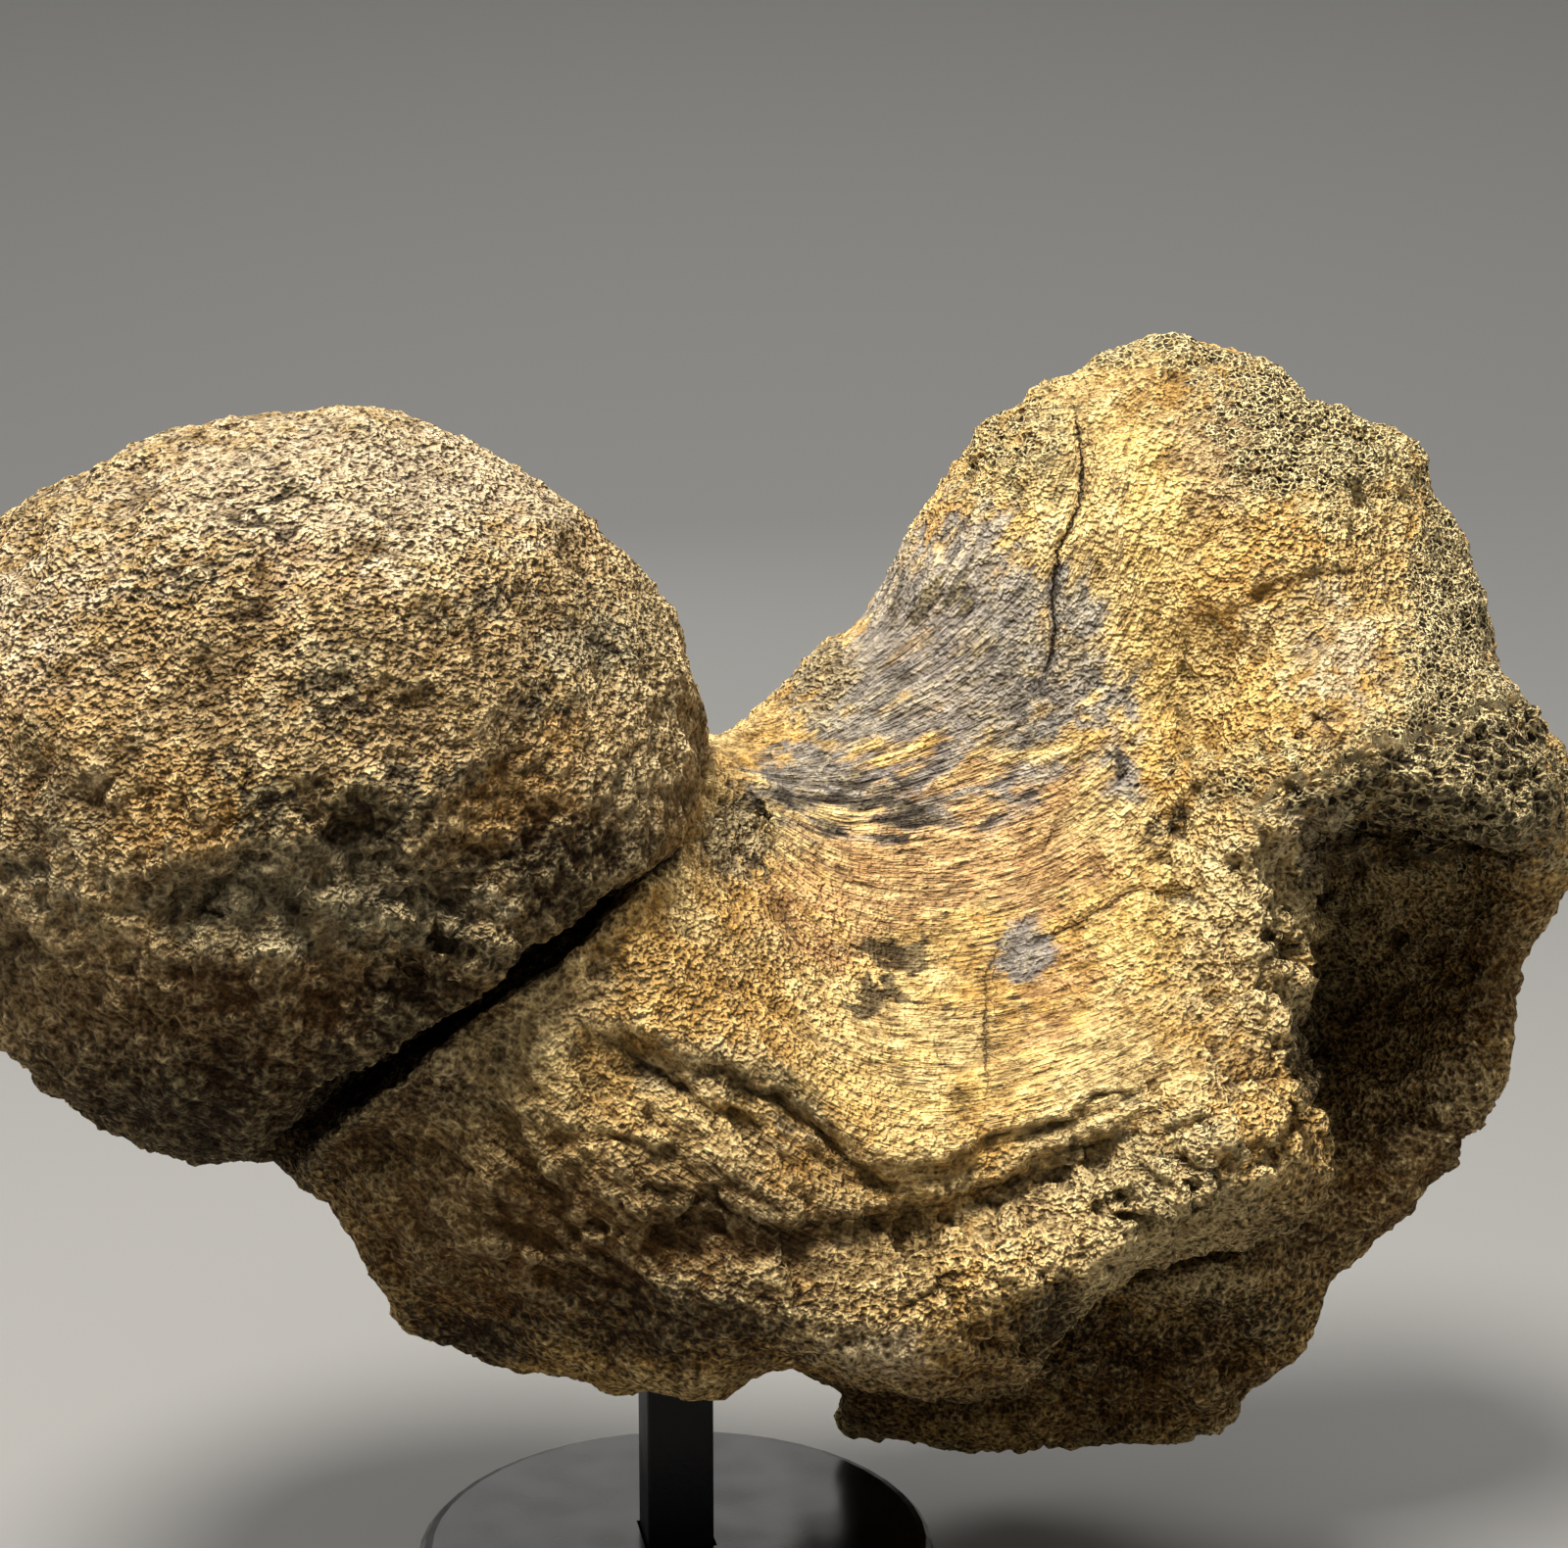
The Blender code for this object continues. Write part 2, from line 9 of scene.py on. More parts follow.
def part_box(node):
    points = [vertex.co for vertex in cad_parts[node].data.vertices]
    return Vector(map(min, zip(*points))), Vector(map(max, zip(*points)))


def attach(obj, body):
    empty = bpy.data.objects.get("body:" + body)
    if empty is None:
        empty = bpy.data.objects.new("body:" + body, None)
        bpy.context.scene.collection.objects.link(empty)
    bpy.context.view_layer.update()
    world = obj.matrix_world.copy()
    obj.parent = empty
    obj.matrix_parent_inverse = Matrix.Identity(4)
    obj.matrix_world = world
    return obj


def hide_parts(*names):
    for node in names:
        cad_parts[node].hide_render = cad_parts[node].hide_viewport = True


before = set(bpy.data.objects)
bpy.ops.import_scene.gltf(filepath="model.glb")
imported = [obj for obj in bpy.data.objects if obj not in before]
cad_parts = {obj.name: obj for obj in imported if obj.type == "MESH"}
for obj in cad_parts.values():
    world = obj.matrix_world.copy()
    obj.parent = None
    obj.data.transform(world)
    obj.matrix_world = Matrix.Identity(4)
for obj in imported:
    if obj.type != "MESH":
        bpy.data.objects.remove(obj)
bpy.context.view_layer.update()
mm = 0.001
noise.seed_set(3)   # noise_vector starts from the clock otherwise
print("frame loaded")


def chooseOnly(piece):
    bpy.ops.object.select_all(action="DESELECT")
    piece.select_set(True)
    bpy.context.view_layer.objects.active = piece


def copyOfNode(node, name):
    # a CAD node's mesh is loose triangles, so the copy is merged before anything else
    piece = bpy.data.objects.new(name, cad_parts[node].data.copy())
    bpy.context.scene.collection.objects.link(piece)
    chooseOnly(piece)
    bpy.ops.object.mode_set(mode="EDIT")
    bpy.ops.mesh.select_all(action="SELECT")
    bpy.ops.mesh.remove_doubles(threshold=0.00001)
    bpy.ops.object.mode_set(mode="OBJECT")
    piece.data.materials.clear()
    return piece


def applied(piece, name, kind, **settings):
    modifier = piece.modifiers.new(name, kind)
    for key, value in settings.items():
        setattr(modifier, key, value)
    chooseOnly(piece)
    bpy.ops.object.modifier_apply(modifier=name)


def readRows(piece, what="co"):
    rows = np.empty(len(piece.data.vertices) * 3)
    piece.data.vertices.foreach_get(what, rows)
    return rows.reshape(-1, 3)


def writePoints(piece, points):
    piece.data.vertices.foreach_set("co", points.ravel())
    piece.data.update()


def averaged(piece, values, rounds):
    # each point drifts halfway to the mean of its neighbours, over and over
    count = len(piece.data.vertices)
    ends = np.empty(len(piece.data.edges) * 2, int)
    piece.data.edges.foreach_get("vertices", ends)
    a, b = ends.reshape(-1, 2).T
    neighbours = np.bincount(a, minlength=count) + np.bincount(b, minlength=count)
    columns = [values] if values.ndim == 1 else list(values.T)
    done = []
    for column in columns:
        for _ in range(rounds):
            total = np.bincount(a, column[b], count) + np.bincount(b, column[a], count)
            column = 0.5 * column + 0.5 * total / neighbours
        done.append(column)
    return done[0] if values.ndim == 1 else np.column_stack(done)


# places on the sight plane are (right, up) in mm, as the front of the bone is seen
sight = {"eye": (13.8, -285.2, 150.4), "pitch": 8, "distance": 288}


def fromEye(points):
    rays = points / mm - np.array(sight["eye"])
    return rays / np.linalg.norm(rays, axis=1)[:, None]


def onSightPlane(points):
    offset = points / mm - np.array(sight["eye"])
    cos, sin = math.cos(math.radians(sight["pitch"])), math.sin(math.radians(sight["pitch"]))
    ahead = offset[:, 1] * cos - offset[:, 2] * sin
    rise = offset[:, 1] * sin + offset[:, 2] * cos
    return sight["distance"] * np.column_stack([offset[:, 0], rise]) / ahead[:, None]


def besidePath(where, path):
    # distance from a chain of straight stretches, the side (1 on the right), and how far from its ends
    nearest = np.full(len(where), np.inf)
    side, run = np.ones(len(where)), np.zeros(len(where))
    corners = np.array(path, float)
    lengths = np.linalg.norm(np.diff(corners, axis=0), axis=1)
    starts = np.concatenate([[0], np.cumsum(lengths)])
    for i, length in enumerate(lengths):
        along = (corners[i + 1] - corners[i]) / length
        offset = where - corners[i]
        reach = np.clip(offset @ along, 0, length)
        distance = np.linalg.norm(offset - reach[:, None] * along, axis=1)
        closer = distance < nearest
        nearest = np.where(closer, distance, nearest)
        turn = offset[:, 0] * along[1] - offset[:, 1] * along[0]
        side = np.where(closer, np.where(turn > 0, 1.0, -1.0), side)
        place = starts[i] + reach
        run = np.where(closer, np.minimum(place, starts[-1] - place), run)
    return nearest, side, run


def plateKernel(a, b):
    squared = ((a[:, None] - b[None]) ** 2).sum(-1)
    return 0.5 * squared * np.log(squared + 1e-9)


def bentThrough(places, values, where, slack=20.0):
    # a thin plate bent through values at places, read off at where
    count = len(places)
    system = np.zeros((count + 3, count + 3))
    system[:count, :count] = plateKernel(places, places) + slack * np.eye(count)
    flat = np.hstack([np.ones((count, 1)), places])
    system[:count, count:] = flat
    system[count:, :count] = flat.T
    weights = np.linalg.solve(system, np.concatenate([values, np.zeros(3)]))
    read = plateKernel(where, places) @ weights[:count]
    return read + weights[count] + where @ weights[count + 1 :]


studio = {
    "cameraPlace": (0.0138, -0.2852, 0.1504),
    "cameraPitch": 8,
    "lens": 54,
    "sensor": 36,
    "clipStart": 0.01,
    "floorColour": (126, 125, 122),
    "floorSize": 9,
    "floorGrid": 90,
    "floorFlat": 0.9,   # the floor is level this far out, then rises
    "floorBend": 3.4,
    "floorRise": 1.5,
    "world": (0.94, 0.97, 1.0),
    "worldStrength": 0.13,
    "view": ("Standard", "None", 0.0),   # transform, look, exposure
    # name, place, aim, size in m, power in W, colour
    "lights": (
        ("overhead", (-0.14, -0.27, 0.93), (0.03, 0.0, 0.08), 0.34, 17.0, (1.0, 0.965, 0.91)),
        ("right fill", (1.1, -0.3, 0.6), (0.02, 0.0, 0.09), 0.7, 0.4, (1.0, 0.97, 0.93)),
        ("back fill", (-0.2, 1.3, 0.8), (0.02, 0.0, 0.09), 0.9, 3.0, (1.0, 0.98, 0.95)),
        ("far floor", (0.0, 1.6, 2.4), (0.0, 2.2, 0.2), 2.4, 50.0, (1.0, 0.99, 0.98)),
        ("near floor", (0.0, -2.2, 2.6), (0.0, -3.0, 0.4), 2.0, 26.0, (1.0, 0.99, 0.98)),
        ("left floor", (-2.2, 0.0, 2.6), (-3.0, 0.0, 0.4), 2.0, 26.0, (1.0, 0.99, 0.98)),
        ("right floor", (2.2, 0.0, 2.6), (3.0, 0.0, 0.4), 2.0, 26.0, (1.0, 0.99, 0.98)),
    ),
}


def tone(red, green, blue):
    return tuple((part / 255) ** 2.2 for part in (red, green, blue)) + (1,)


def setCamera():
    data = bpy.data.cameras.new("camera")
    data.lens = studio["lens"]
    data.sensor_width = studio["sensor"]
    data.clip_start = studio["clipStart"]
    camera = bpy.data.objects.new("camera", data)
    camera.location = studio["cameraPlace"]
    camera.rotation_euler = (math.radians(90 - studio["cameraPitch"]), 0, 0)
    bpy.context.scene.collection.objects.link(camera)
    bpy.context.scene.camera = camera


def setLights():
    for name, place, aim, size, power, colour in studio["lights"]:
        data = bpy.data.lights.new(name, "AREA")
        data.shape = "DISK"
        data.size = size
        data.energy = power
        data.color = colour
        light = bpy.data.objects.new(name, data)
        light.location = place
        light.rotation_euler = (Vector(aim) - Vector(place)).to_track_quat("-Z", "Y").to_euler()
        bpy.context.scene.collection.objects.link(light)
    world = bpy.data.worlds.new("studio")
    world.use_nodes = True
    background = world.node_tree.nodes["Background"]
    background.inputs["Color"].default_value = (*studio["world"], 1)
    background.inputs["Strength"].default_value = studio["worldStrength"]
    bpy.context.scene.world = world
    shown = bpy.context.scene.view_settings
    shown.view_transform, shown.look, shown.exposure = studio["view"]


def makeFloor():
    bpy.ops.object.select_all(action="DESELECT")
    grid = studio["floorGrid"]
    bpy.ops.mesh.primitive_grid_add(x_subdivisions=grid, y_subdivisions=grid, size=studio["floorSize"])
    floor = bpy.context.object
    floor.name = "floor"
    points = readRows(floor)
    away = np.linalg.norm(points[:, :2], axis=1)
    bent = np.clip((away - studio["floorFlat"]) / studio["floorBend"], 0, 1)
    points[:, 2] = studio["floorRise"] * bent**2
    writePoints(floor, points)
    floor.data.shade_smooth()
    paint = bpy.data.materials.new("pale floor")
    paint.use_nodes = True
    shader = paint.node_tree.nodes["Principled BSDF"]
    shader.inputs["Base Color"].default_value = tone(*studio["floorColour"])
    shader.inputs["Roughness"].default_value = 0.9
    floor.data.materials.append(paint)


setCamera()
setLights()
makeFloor()
print("studio ready")


bone = {
    "voxel": 0.55,
    "quickVoxel": 0.95,
    "triangles": 192000,
    "backShare": 0.22,   # how many of the back's faces are kept
    "softenRounds": 8,
    "softenAmount": 0.5,
    "socketWidth": 9.0,
    "socketFoot": 20,
    "socketTop": 62.3,
    "postRoom": 6.5,   # no relief this near the post's middle, below postTop
    "postTop": 0.064,
    "postTurn": 12,
    # broken steps: path with the fallen side on its right, drop, width of the fallen strip, width of the
    # step; a painted shadow line runs along each foot
    "ledges": (
        ("ball lip", ((-52.6, -18.7), (-46.8, -22.2), (-40.9, -25.4), (-37.2, -27.8), (-35.4, -26.4),
                      (-34.2, -23.6)), 3.0, 6, 0.9),
        ("ball break", ((-88.8, -13.8), (-80.8, -12), (-72.7, -12.4), (-66, -9.4), (-53.2, -5.3),
                        (-43.9, -2.6), (-37.8, -7.2), (-28.8, -10.8)), 0.5, 7, 1.2),
        ("saddle edge", ((-7.1, -37), (-1.2, -38.6), (1.8, -40.8), (4.7, -43.4), (10.1, -47.8),
                         (12.7, -49.6), (16.8, -47.6), (21.1, -45.7), (25.9, -43.7), (35, -41.5),
                         (37.7, -38.8), (45.2, -37.7)), 1.5, 3, 0.7),
        ("deep ledge", ((-14, -49.7), (-13, -52.6), (-9.7, -50.9), (-4.4, -53), (-1.2, -55.2), (5.8, -54.1),
                        (13.8, -53), (19.2, -52), (26.4, -49.2), (33.6, -45.6), (40.8, -43.4), (47, -42.6)),
         2.4, 4, 0.8),
        ("lobe step", ((-23.8, -29.5), (-19.4, -33.2), (-14, -36.5), (-9.2, -39.7), (-4.4, -41.9),
                       (-0.7, -45.6), (2.4, -48)), 1.3, 3, 0.8),
        ("lobe step low", ((-30, -37), (-23, -42), (-15, -45.5), (-8, -48), (-2, -51.5)), 0.9, 3, 0.9),
        ("fold one", ((25.2, -52.2), (31.2, -49.8), (36, -46.8), (45.6, -43.2), (55.2, -39.6),
                      (62.4, -37.2)), 0.8, 3, 0.9),
        ("fold two", ((27.6, -43.2), (38.4, -40.8), (45.6, -36.6), (52.8, -32.4), (58.8, -29.4),
                      (63.6, -26.4)), 0.8, 3, 0.9),
        ("fold three", ((31.2, -60), (38.4, -56.6), (46.8, -53.4), (54, -51), (61.2, -48)), 1.1, 3, 1.0),
        ("knob foot", ((32.4, -61.3), (37.2, -63.1), (42, -64), (49.4, -63.5), (54.8, -58.7), (62.9, -54.4)),
         1.2, 4, 1.0),
        ("pillow lip", ((55.4, 18), (57, 22.2), (60, 24.2), (63.6, 25.2), (67.2, 25.6), (72, 25),
                        (75.6, 23.8), (78.2, 21.4)), 0.9, 4, 0.9),
        ("neck lip", ((-4.8, 0), (-3, -3), (-1.2, -6), (-0.2, -9.4), (0.1, -12.6)), 2.2, 5, 0.8),
        ("hollow edge", ((-45.6, -63.1), (-44.6, -64.3), (-38.2, -65.9), (-32.8, -69.7), (-29, -73.9)),
         2.2, 5, 0.8),
        ("jagged step", ((30.4, 10.2), (30.1, 6.2), (31.1, 3.7), (30.1, 1.8), (28.9, -0.2), (28.9, -2.8)),
         1.0, 3, 0.6),
    ),
    # cracks and creases: path, half width, depth, how dark a line they draw
    "cracks": (
        ("wing crack", ((34.6, 46.6), (35.9, 44), (36.4, 39.1), (36.6, 36.1), (35.9, 32.2), (33.6, 27.1),
                        (32.9, 22.2), (33.1, 16.2), (32.4, 12.6), (31, 10.4)), 0.55, 1.0, 1.0),
        ("wing crack end", ((33.4, -4.7), (33.4, -7.2), (31.9, -9.1), (30.4, -10.7)), 0.45, 0.5, 0.7),
        ("diagonal crack", ((29.9, -21), (32.9, -19.8), (37.2, -17.6), (42, -14.4), (44.2, -14.2),
                            (48.4, -15.2)), 0.6, 0.9, 0.7),
        ("small crack", ((48.2, 25.7), (50.8, 27.6), (52.8, 29.4), (54.2, 31.7)), 0.5, 0.7, 0.4),
        ("crease top", ((49.4, 17.6), (49.1, 14.6), (49, 12.6), (47.4, 11)), 0.5, 0.6, 0.8),
        ("crease foot", ((47.2, 9), (48.2, 7.3), (49.8, 5.6)), 0.5, 0.6, 0.8),
        ("crease low", ((52.8, 0.6), (51.2, -1.2), (49, -4.3), (49, -7.8), (46.8, -9.6), (44.6, -10.8)),
         1.0, 1.5, 0.3),
        ("pillow crack", ((58.8, 19.3), (59.3, 16.2), (59, 14.4)), 0.6, 0.8, 0.5),
        ("hairline", ((26.8, -18.7), (24.8, -24.8), (24.6, -31.3), (24.8, -37.7), (24.4, -41.5)),
         0.4, 0.45, 0.55),
        ("neck crack", ((-10.3, -6.5), (-13, -9.6), (-17, -12.3), (-21.5, -15.2)), 0.9, 2.2, 1.0),
        ("ball crack", ((-73.3, -16.2), (-70.2, -17), (-66.6, -17.5)), 0.45, 1.0, 1.0),
        ("lobe crack", ((-31.2, -57.6), (-26.9, -60), (-20.5, -62.8), (-13, -65.4), (-8.2, -68)),
         0.6, 0.8, 0.6),
        ("right crack", ((20.3, -61.7), (16, -64.8), (11.2, -68), (6.8, -69.7)), 0.6, 0.8, 0.4),
        ("shelf crack", ((64.8, -37.8), (68.3, -39.4), (70.9, -39.8)), 0.8, 1.2, 0.8),
        ("saddle line", ((-2, -27), (6, -33.5), (14, -38), (22, -40)), 0.5, 0.3, 0),
    ),
    # lumps, and pits where the height is below zero: place, half sizes, height
    "lumps": (
        ("knob", (42, -9), (2.6, 2.6), 1.4),
        ("hole", (48.6, -14.6), (2.2, 1.3), -1.8),
        ("crease hole", (47.5, -6.6), (1.6, 1.8), -1.6),
        ("ball pit high", (-53.2, -7.3), (0.8, 0.7), -1.0),
        ("ball pit low", (-36.6, -15.4), (1.8, 0.6), -0.9),
        ("ball pit mid", (-54.4, -14.4), (1.8, 0.6), -0.8),
        ("ball dent", (-41, 17), (5, 4), -0.7),
        ("ball bump", (-44, 27), (5, 3.5), 0.6),
        ("ball cheek", (-72, -22), (22, 8), 2.0),
        ("saddle scar", (13.6, -21.6), (3.0, 1.8), -0.5),
        ("saddle scar low", (12, -27.6), (4.6, 1.8), -0.5),
        ("ridge pit", (41.4, 0.8), (1.8, 2.4), -0.5),
        ("rough pit", (50, -44), (3, 2), -0.6),
        ("rough pit low", (44, -50), (2.4, 2.2), -0.6),
        ("lobe dip", (-18, -56), (9, 5), -0.8),
        ("lobe hollow", (-38, -69.5), (8, 3.6), -3.0),
        ("valley fill", (50, 16), (3.5, 7), 2.0),
        ("valley fill high", (54, 20.5), (5, 4.5), 2.6),
        ("pillow step fill", (65, 23.5), (5.5, 2.6), 1.8),
        ("ridge flank", (59.5, -24), (4, 15), 3.0),
        ("mass foot", (42, -62), (17, 6), 7.5),
        ("mass side", (58, -47), (6, 8), 3.0),
        ("mass corner", (53, -60), (8, 5.5), 6.0),
        ("arch", (70, -8), (10, 4.5), 4.5),
        ("hollow lip", (88, -10), (15, 5), 5.0),
    ),
    # where each kind of surface, and each patch of painted light and shade, lies: right, up, half width, half
    # height, how much
    "zones": {
        "spongy": ((66, 41, 13, 9, 1), (60, 47, 10, 5, 0.8), (82, 23, 6.5, 15, 1), (85, 6, 10, 8, 0.9),
                   (84, -2, 18, 8, 1), (58, 0, 11, 5, 0.5), (74, -19, 16, 16, 0.2), (28, 41, 9, 7, 0.6),
                   (48, 53, 24, 3, 0.8), (49, -47, 15, 10, 0.25)),
        "honeycomb": ((84, -2, 18, 8, 1), (68, -5, 12, 5, 0.8), (92, 2, 9, 9, 1)),
        "fibrous": ((19, -7, 30, 21, 1), (17, 18, 13, 17, 1), (24, -35, 28, 12, 0.9),
                    (-28, -48, 28, 20, 0.5), (0, -52, 20, 14, 0.5), (41, 28, 14, 19, 0.8),
                    (66, 12, 11, 10, 0.4)),
        "splintered": ((-26, -48, 30, 20, 1), (2, -46, 16, 8, 0.8), (40, -44, 22, 12, 0.7),
                       (20, -62, 24, 8, 0.7)),
        "rough": ((49, -47, 17, 11, 1), (58, -25, 8, 15, 0.8), (46, -10, 6, 7, 0.8), (60, 2, 12, 5, 0.7),
                  (20, -60, 24, 9, 0.6), (42, -74, 26, 9, 0.8), (78, -35, 14, 18, 0.7),
                  (74, -15, 16, 12, 0.7), (-56, -14, 24, 9, 0.6), (-42, -20, 12, 8, 0.8),
                  (-25, -50, 30, 16, 0.5), (-6, -6, 5, 6, 1), (28, 43, 9, 6, 0.6), (70, 38, 13, 9, 0.7)),
        "rim": ((64, -16, 4, 11, 1), (62, -33, 4, 14, 1), (68, -8, 8, 4, 0.6)),
        "greyBlue": ((22, 18, 11, 15, 0.95), (14, 22, 5, 9, 0.9), (10, 13, 6, 6, 0.7), (3, 9, 4, 4, 0.6),
                     (35, 16, 6, 13, 0.55), (24, 9, 13, 5, 0.7), (3, -0.5, 8, 4, 0.8),
                     (12, -2.5, 17, 6, 0.6), (29, -22, 4, 4.6, 0.95), (41, -1, 3, 4, 0.8),
                     (8, 7, 4, 5, 0.5), (31, 1, 3, 4, 0.5), (40, 10, 6, 8, 0.4)),
        "peach": ((20, -3, 19, 8, 0.9), (22, -12, 22, 7, 0.9), (34, -28, 9, 6, 0.6), (4, -18, 8, 6, 0.6)),
        "gold": ((45, -18, 8, 8, 0.9), (38, -12, 8, 5, 0.7), (46, 14, 6, 14, 0.7), (60, 8, 11, 9, 0.6),
                 (46, 34, 10, 12, 0.6), (12, -38, 14, 6, 0.6)),
        "mauve": ((54, 40, 7.5, 7.5, 0.95), (64, 5, 5, 4, 0.6), (38, -12, 3, 3, 0.4)),
        # painted light: pale patches where the lamp lights the surface too little, with some truly paler bone
        # among them
        "pale": ((57, -22, 9, 14, 1), (-37, -33, 8, 4, 0.7), (-60, -17, 26, 4.5, 0.9),
                 (-38, -21, 7, 4, 0.6), (-44, -36, 8, 6, 1), (-27, -27, 10, 6, 0.8), (46, -61, 12, 4, 0.9),
                 (-9, -36, 10, 4, 0.9), (-6, -55, 12, 5, 0.7), (80, 8, 10, 10, 0.8), (83, -40, 8, 7, 0.9),
                 (-42, -40, 10, 4, 0.9), (63, 17, 10, 7, 0.8), (68, -9, 10, 5, 0.8), (-19, 12, 8, 22, 0.8),
                 (44, -50, 20, 12, 0.7), (-42, 28, 10, 5, 0.8), (44, -55, 18, 6, 0.9), (52, -6, 8, 5, 0.5),
                 (28, -55, 10, 5, 0.4)),
        # the ball's cream top colour, and painted light on edges and walls that the lamp misses
        "creamAndPaintedLight": ((-52, 36, 36, 9, 0.9), (-92, 20, 12, 12, 0.6), (-60, 24, 30, 6, 0.4), (68, 14, 8, 8, 0.6),
                  (90, -8, 10, 5, 0.6), (87, 20, 9, 14, 0.8), (66, -7, 7, 6, 0.8), (-43, -37, 8, 4, 0.5),
                  (11, -71, 9, 3, 0.9)),
        "orange": ((-72, -5, 9, 7, 0.9), (-34, -5, 10, 7, 0.8), (-23, 5, 8, 5, 0.8), (-60, 26, 11, 6, 0.6),
                   (-44, 23, 9, 6, 0.4), (-30, -63, 15, 7, 0.6), (-88, 8, 8, 8, 0.5),
                   (-60, -40, 16, 8, 0.5), (52, -73, 14, 4, 0.5)),
        "grey": ((-56, -14, 24, 9, 0.8), (-25, 16, 7, 5, 0.8), (-58, 12, 10, 8, 0.5), (-41, 19, 6, 4, 0.6),
                 (-92, -10, 8, 10, 0.5), (-5, -7, 4, 5, 1), (-45, -1, 8, 5, 0.5), (-12, -36, 5, 4, 0.4),
                 (2, -42, 6, 4, 0.7), (4, -58, 6, 6, 0.4)),
        "scar": ((-31, 9, 4, 3, 0.7), (-64, -4, 5, 3, 0.6), (-50, -5, 6, 3, 0.5), (-66, 30, 5, 4, 0.5),
                 (-54, 7, 6, 4, 0.5), (-62.4, 35.6, 3.5, 4, 0.5), (-35.8, 22, 4, 2.5, 0.55),
                 (-55.9, 13, 4, 2.6, 0.55), (-20.4, 15, 5, 3, 0.5), (-44, -1.2, 9, 3, 0.5),
                 (-67, 0.7, 3, 3, 0.4), (-74.6, 24, 6, 3, 0.4), (13.5, -21.5, 5, 2.2, 0.95),
                 (9.5, -27, 3.6, 2.4, 0.9), (16, -28.4, 5.2, 1.7, 0.8), (49, -14.6, 3, 1.3, 0.9),
                 (-3.2, -11, 1.6, 2, 0.8), (41, 1, 2, 3, 0.7), (47, -7, 2.4, 3, 0.7)),
        "stain": ((6, -2.5, 11, 4.5, 0.52), (20, 24, 5, 5, 0.35), (15, -6, 11, 2, 0.42), (22, 9, 5, 2, 0.3),
                  (18, 20, 5, 4, 0.35), (31, -28.3, 4, 0.7, 0.8)),
        # dark olive patches of the bone; the wide one across the ball's middle is painted shade
        "olive": ((-8, -52, 7, 5, 0.5), (-2, -62, 8, 7, 0.5), (31, 36, 5, 4, 0.7), (-62, -3, 20, 5, 0.6),
                  (-19, -60, 9, 5, 0.6), (-4, -38, 8, 4, 0.5), (-54, -34, 8, 14, 0.5),
                  (-12, -45, 8, 4, 0.4)),
        "matrix": ((-6, -8, 5, 5, 1), (4, 13, 5, 6, 0.9)),
        # painted shadow: dark patches in gaps, under overhangs and in hollows
        "paintedCavityShade": ((-38, -69.2, 7.5, 3.6, 1), (-72, -46, 17, 9, 0.9), (-47, -29, 8, 5, 1),
                   (-29, -11, 10, 4.5, 0.9), (64, -34, 3, 7, 1), (33, -66, 6, 4, 0.9), (58, -66, 8, 4, 0.8),
                   (-34, -22, 6, 3.5, 0.9), (-25, -16, 4, 4, 0.7), (-55, -37, 4, 6, 0.8),
                   (-45, -65, 3, 3, 0.6), (-19, -10, 7, 3.5, 0.7), (-27, -15, 6, 4, 0.6),
                   (-72, -38, 24, 7, 0.7), (40, -70, 14, 5, 0.5), (-14, -67, 22, 6, 0.75),
                   (70, -30, 8, 12, 0.2)),
        # painted shade: darker brown patches where the lamp leaves too little shadow, partly the bone's own
        # darker brown
        "shade": ((77, -27, 12, 9, 0.4), (12, -77, 20, 4, 0.8), (-28, -4, 7, 4, 0.5),
                  (-68, -28, 24, 4, 0.7), (4, -8, 7, 7, 0.35), (-3, -24, 6, 7, 0.35), (14, -33, 7, 4, 0.3),
                  (38, -19, 5, 8, 0.3), (-93, -6, 4, 5, 0.6), (-47, -29, 9, 5, 0.8), (-29, -10, 11, 5, 0.7),
                  (-8, -68, 16, 6, 0.7), (-60, -26, 24, 3.5, 0.6), (44, -74, 28, 9, 0.9),
                  (72, -44, 9, 11, 0.5), (-40, -70, 8, 4, 1), (88, -24, 8, 16, 0.9), (80, -50, 14, 10, 1),
                  (66, -58, 10, 8, 0.8), (-62, -3, 20, 5, 0.3), (-3, -18, 5, 8, 0.35),
                  (14, -63, 10, 6, 0.5), (-60, -40, 34, 14, 0.8), (-26, -58, 36, 15, 1),
                  (-52, -45, 9, 9, 0.5), (-4, -52, 14, 8, 0.5), (-72, -39, 18, 4, 0.7),
                  (55, -36.5, 7, 3.5, 0.55)),
    },
    # lines that the fibres follow, and how far across the grain each one lies
    "fibres": (
        (0, ((2, 8.3), (9, 16.2), (13.4, 23.2), (17.4, 31.7), (21, 37.2))),
        (7, ((-4.4, 3.2), (3, 7.8), (10.4, 12.7), (16.4, 16.2), (22.4, 21.7), (26.9, 27.1), (30.4, 32.6),
             (33, 38.4))),
        (14, ((-7.9, 2.6), (-1.9, 2.2), (5.5, 4.2), (13, 7.2), (20.4, 10.8), (27.8, 16.7), (34.2, 24.1),
              (37.8, 32.6), (40.8, 40.8))),
        (20, ((-6, 0.8), (0.5, -1.2), (7.9, -1.2), (15.5, 0.8), (22.9, 3.8), (30.4, 7.4), (37.8, 12.7),
              (42.6, 19.2), (46.2, 27.6), (49.8, 37.2))),
        (27, ((-2.5, -3.2), (4.4, -6), (13, -6.2), (20.4, -4.8), (27.8, -2.6), (34.2, -0.6), (40, 3),
              (44.4, 7.2), (46.8, 12.6), (49.8, 20.4))),
        (34, ((-1.8, -6.6), (5.5, -11.6), (13.4, -13.2), (21.4, -13.2), (28.9, -11.6), (35.4, -8.6),
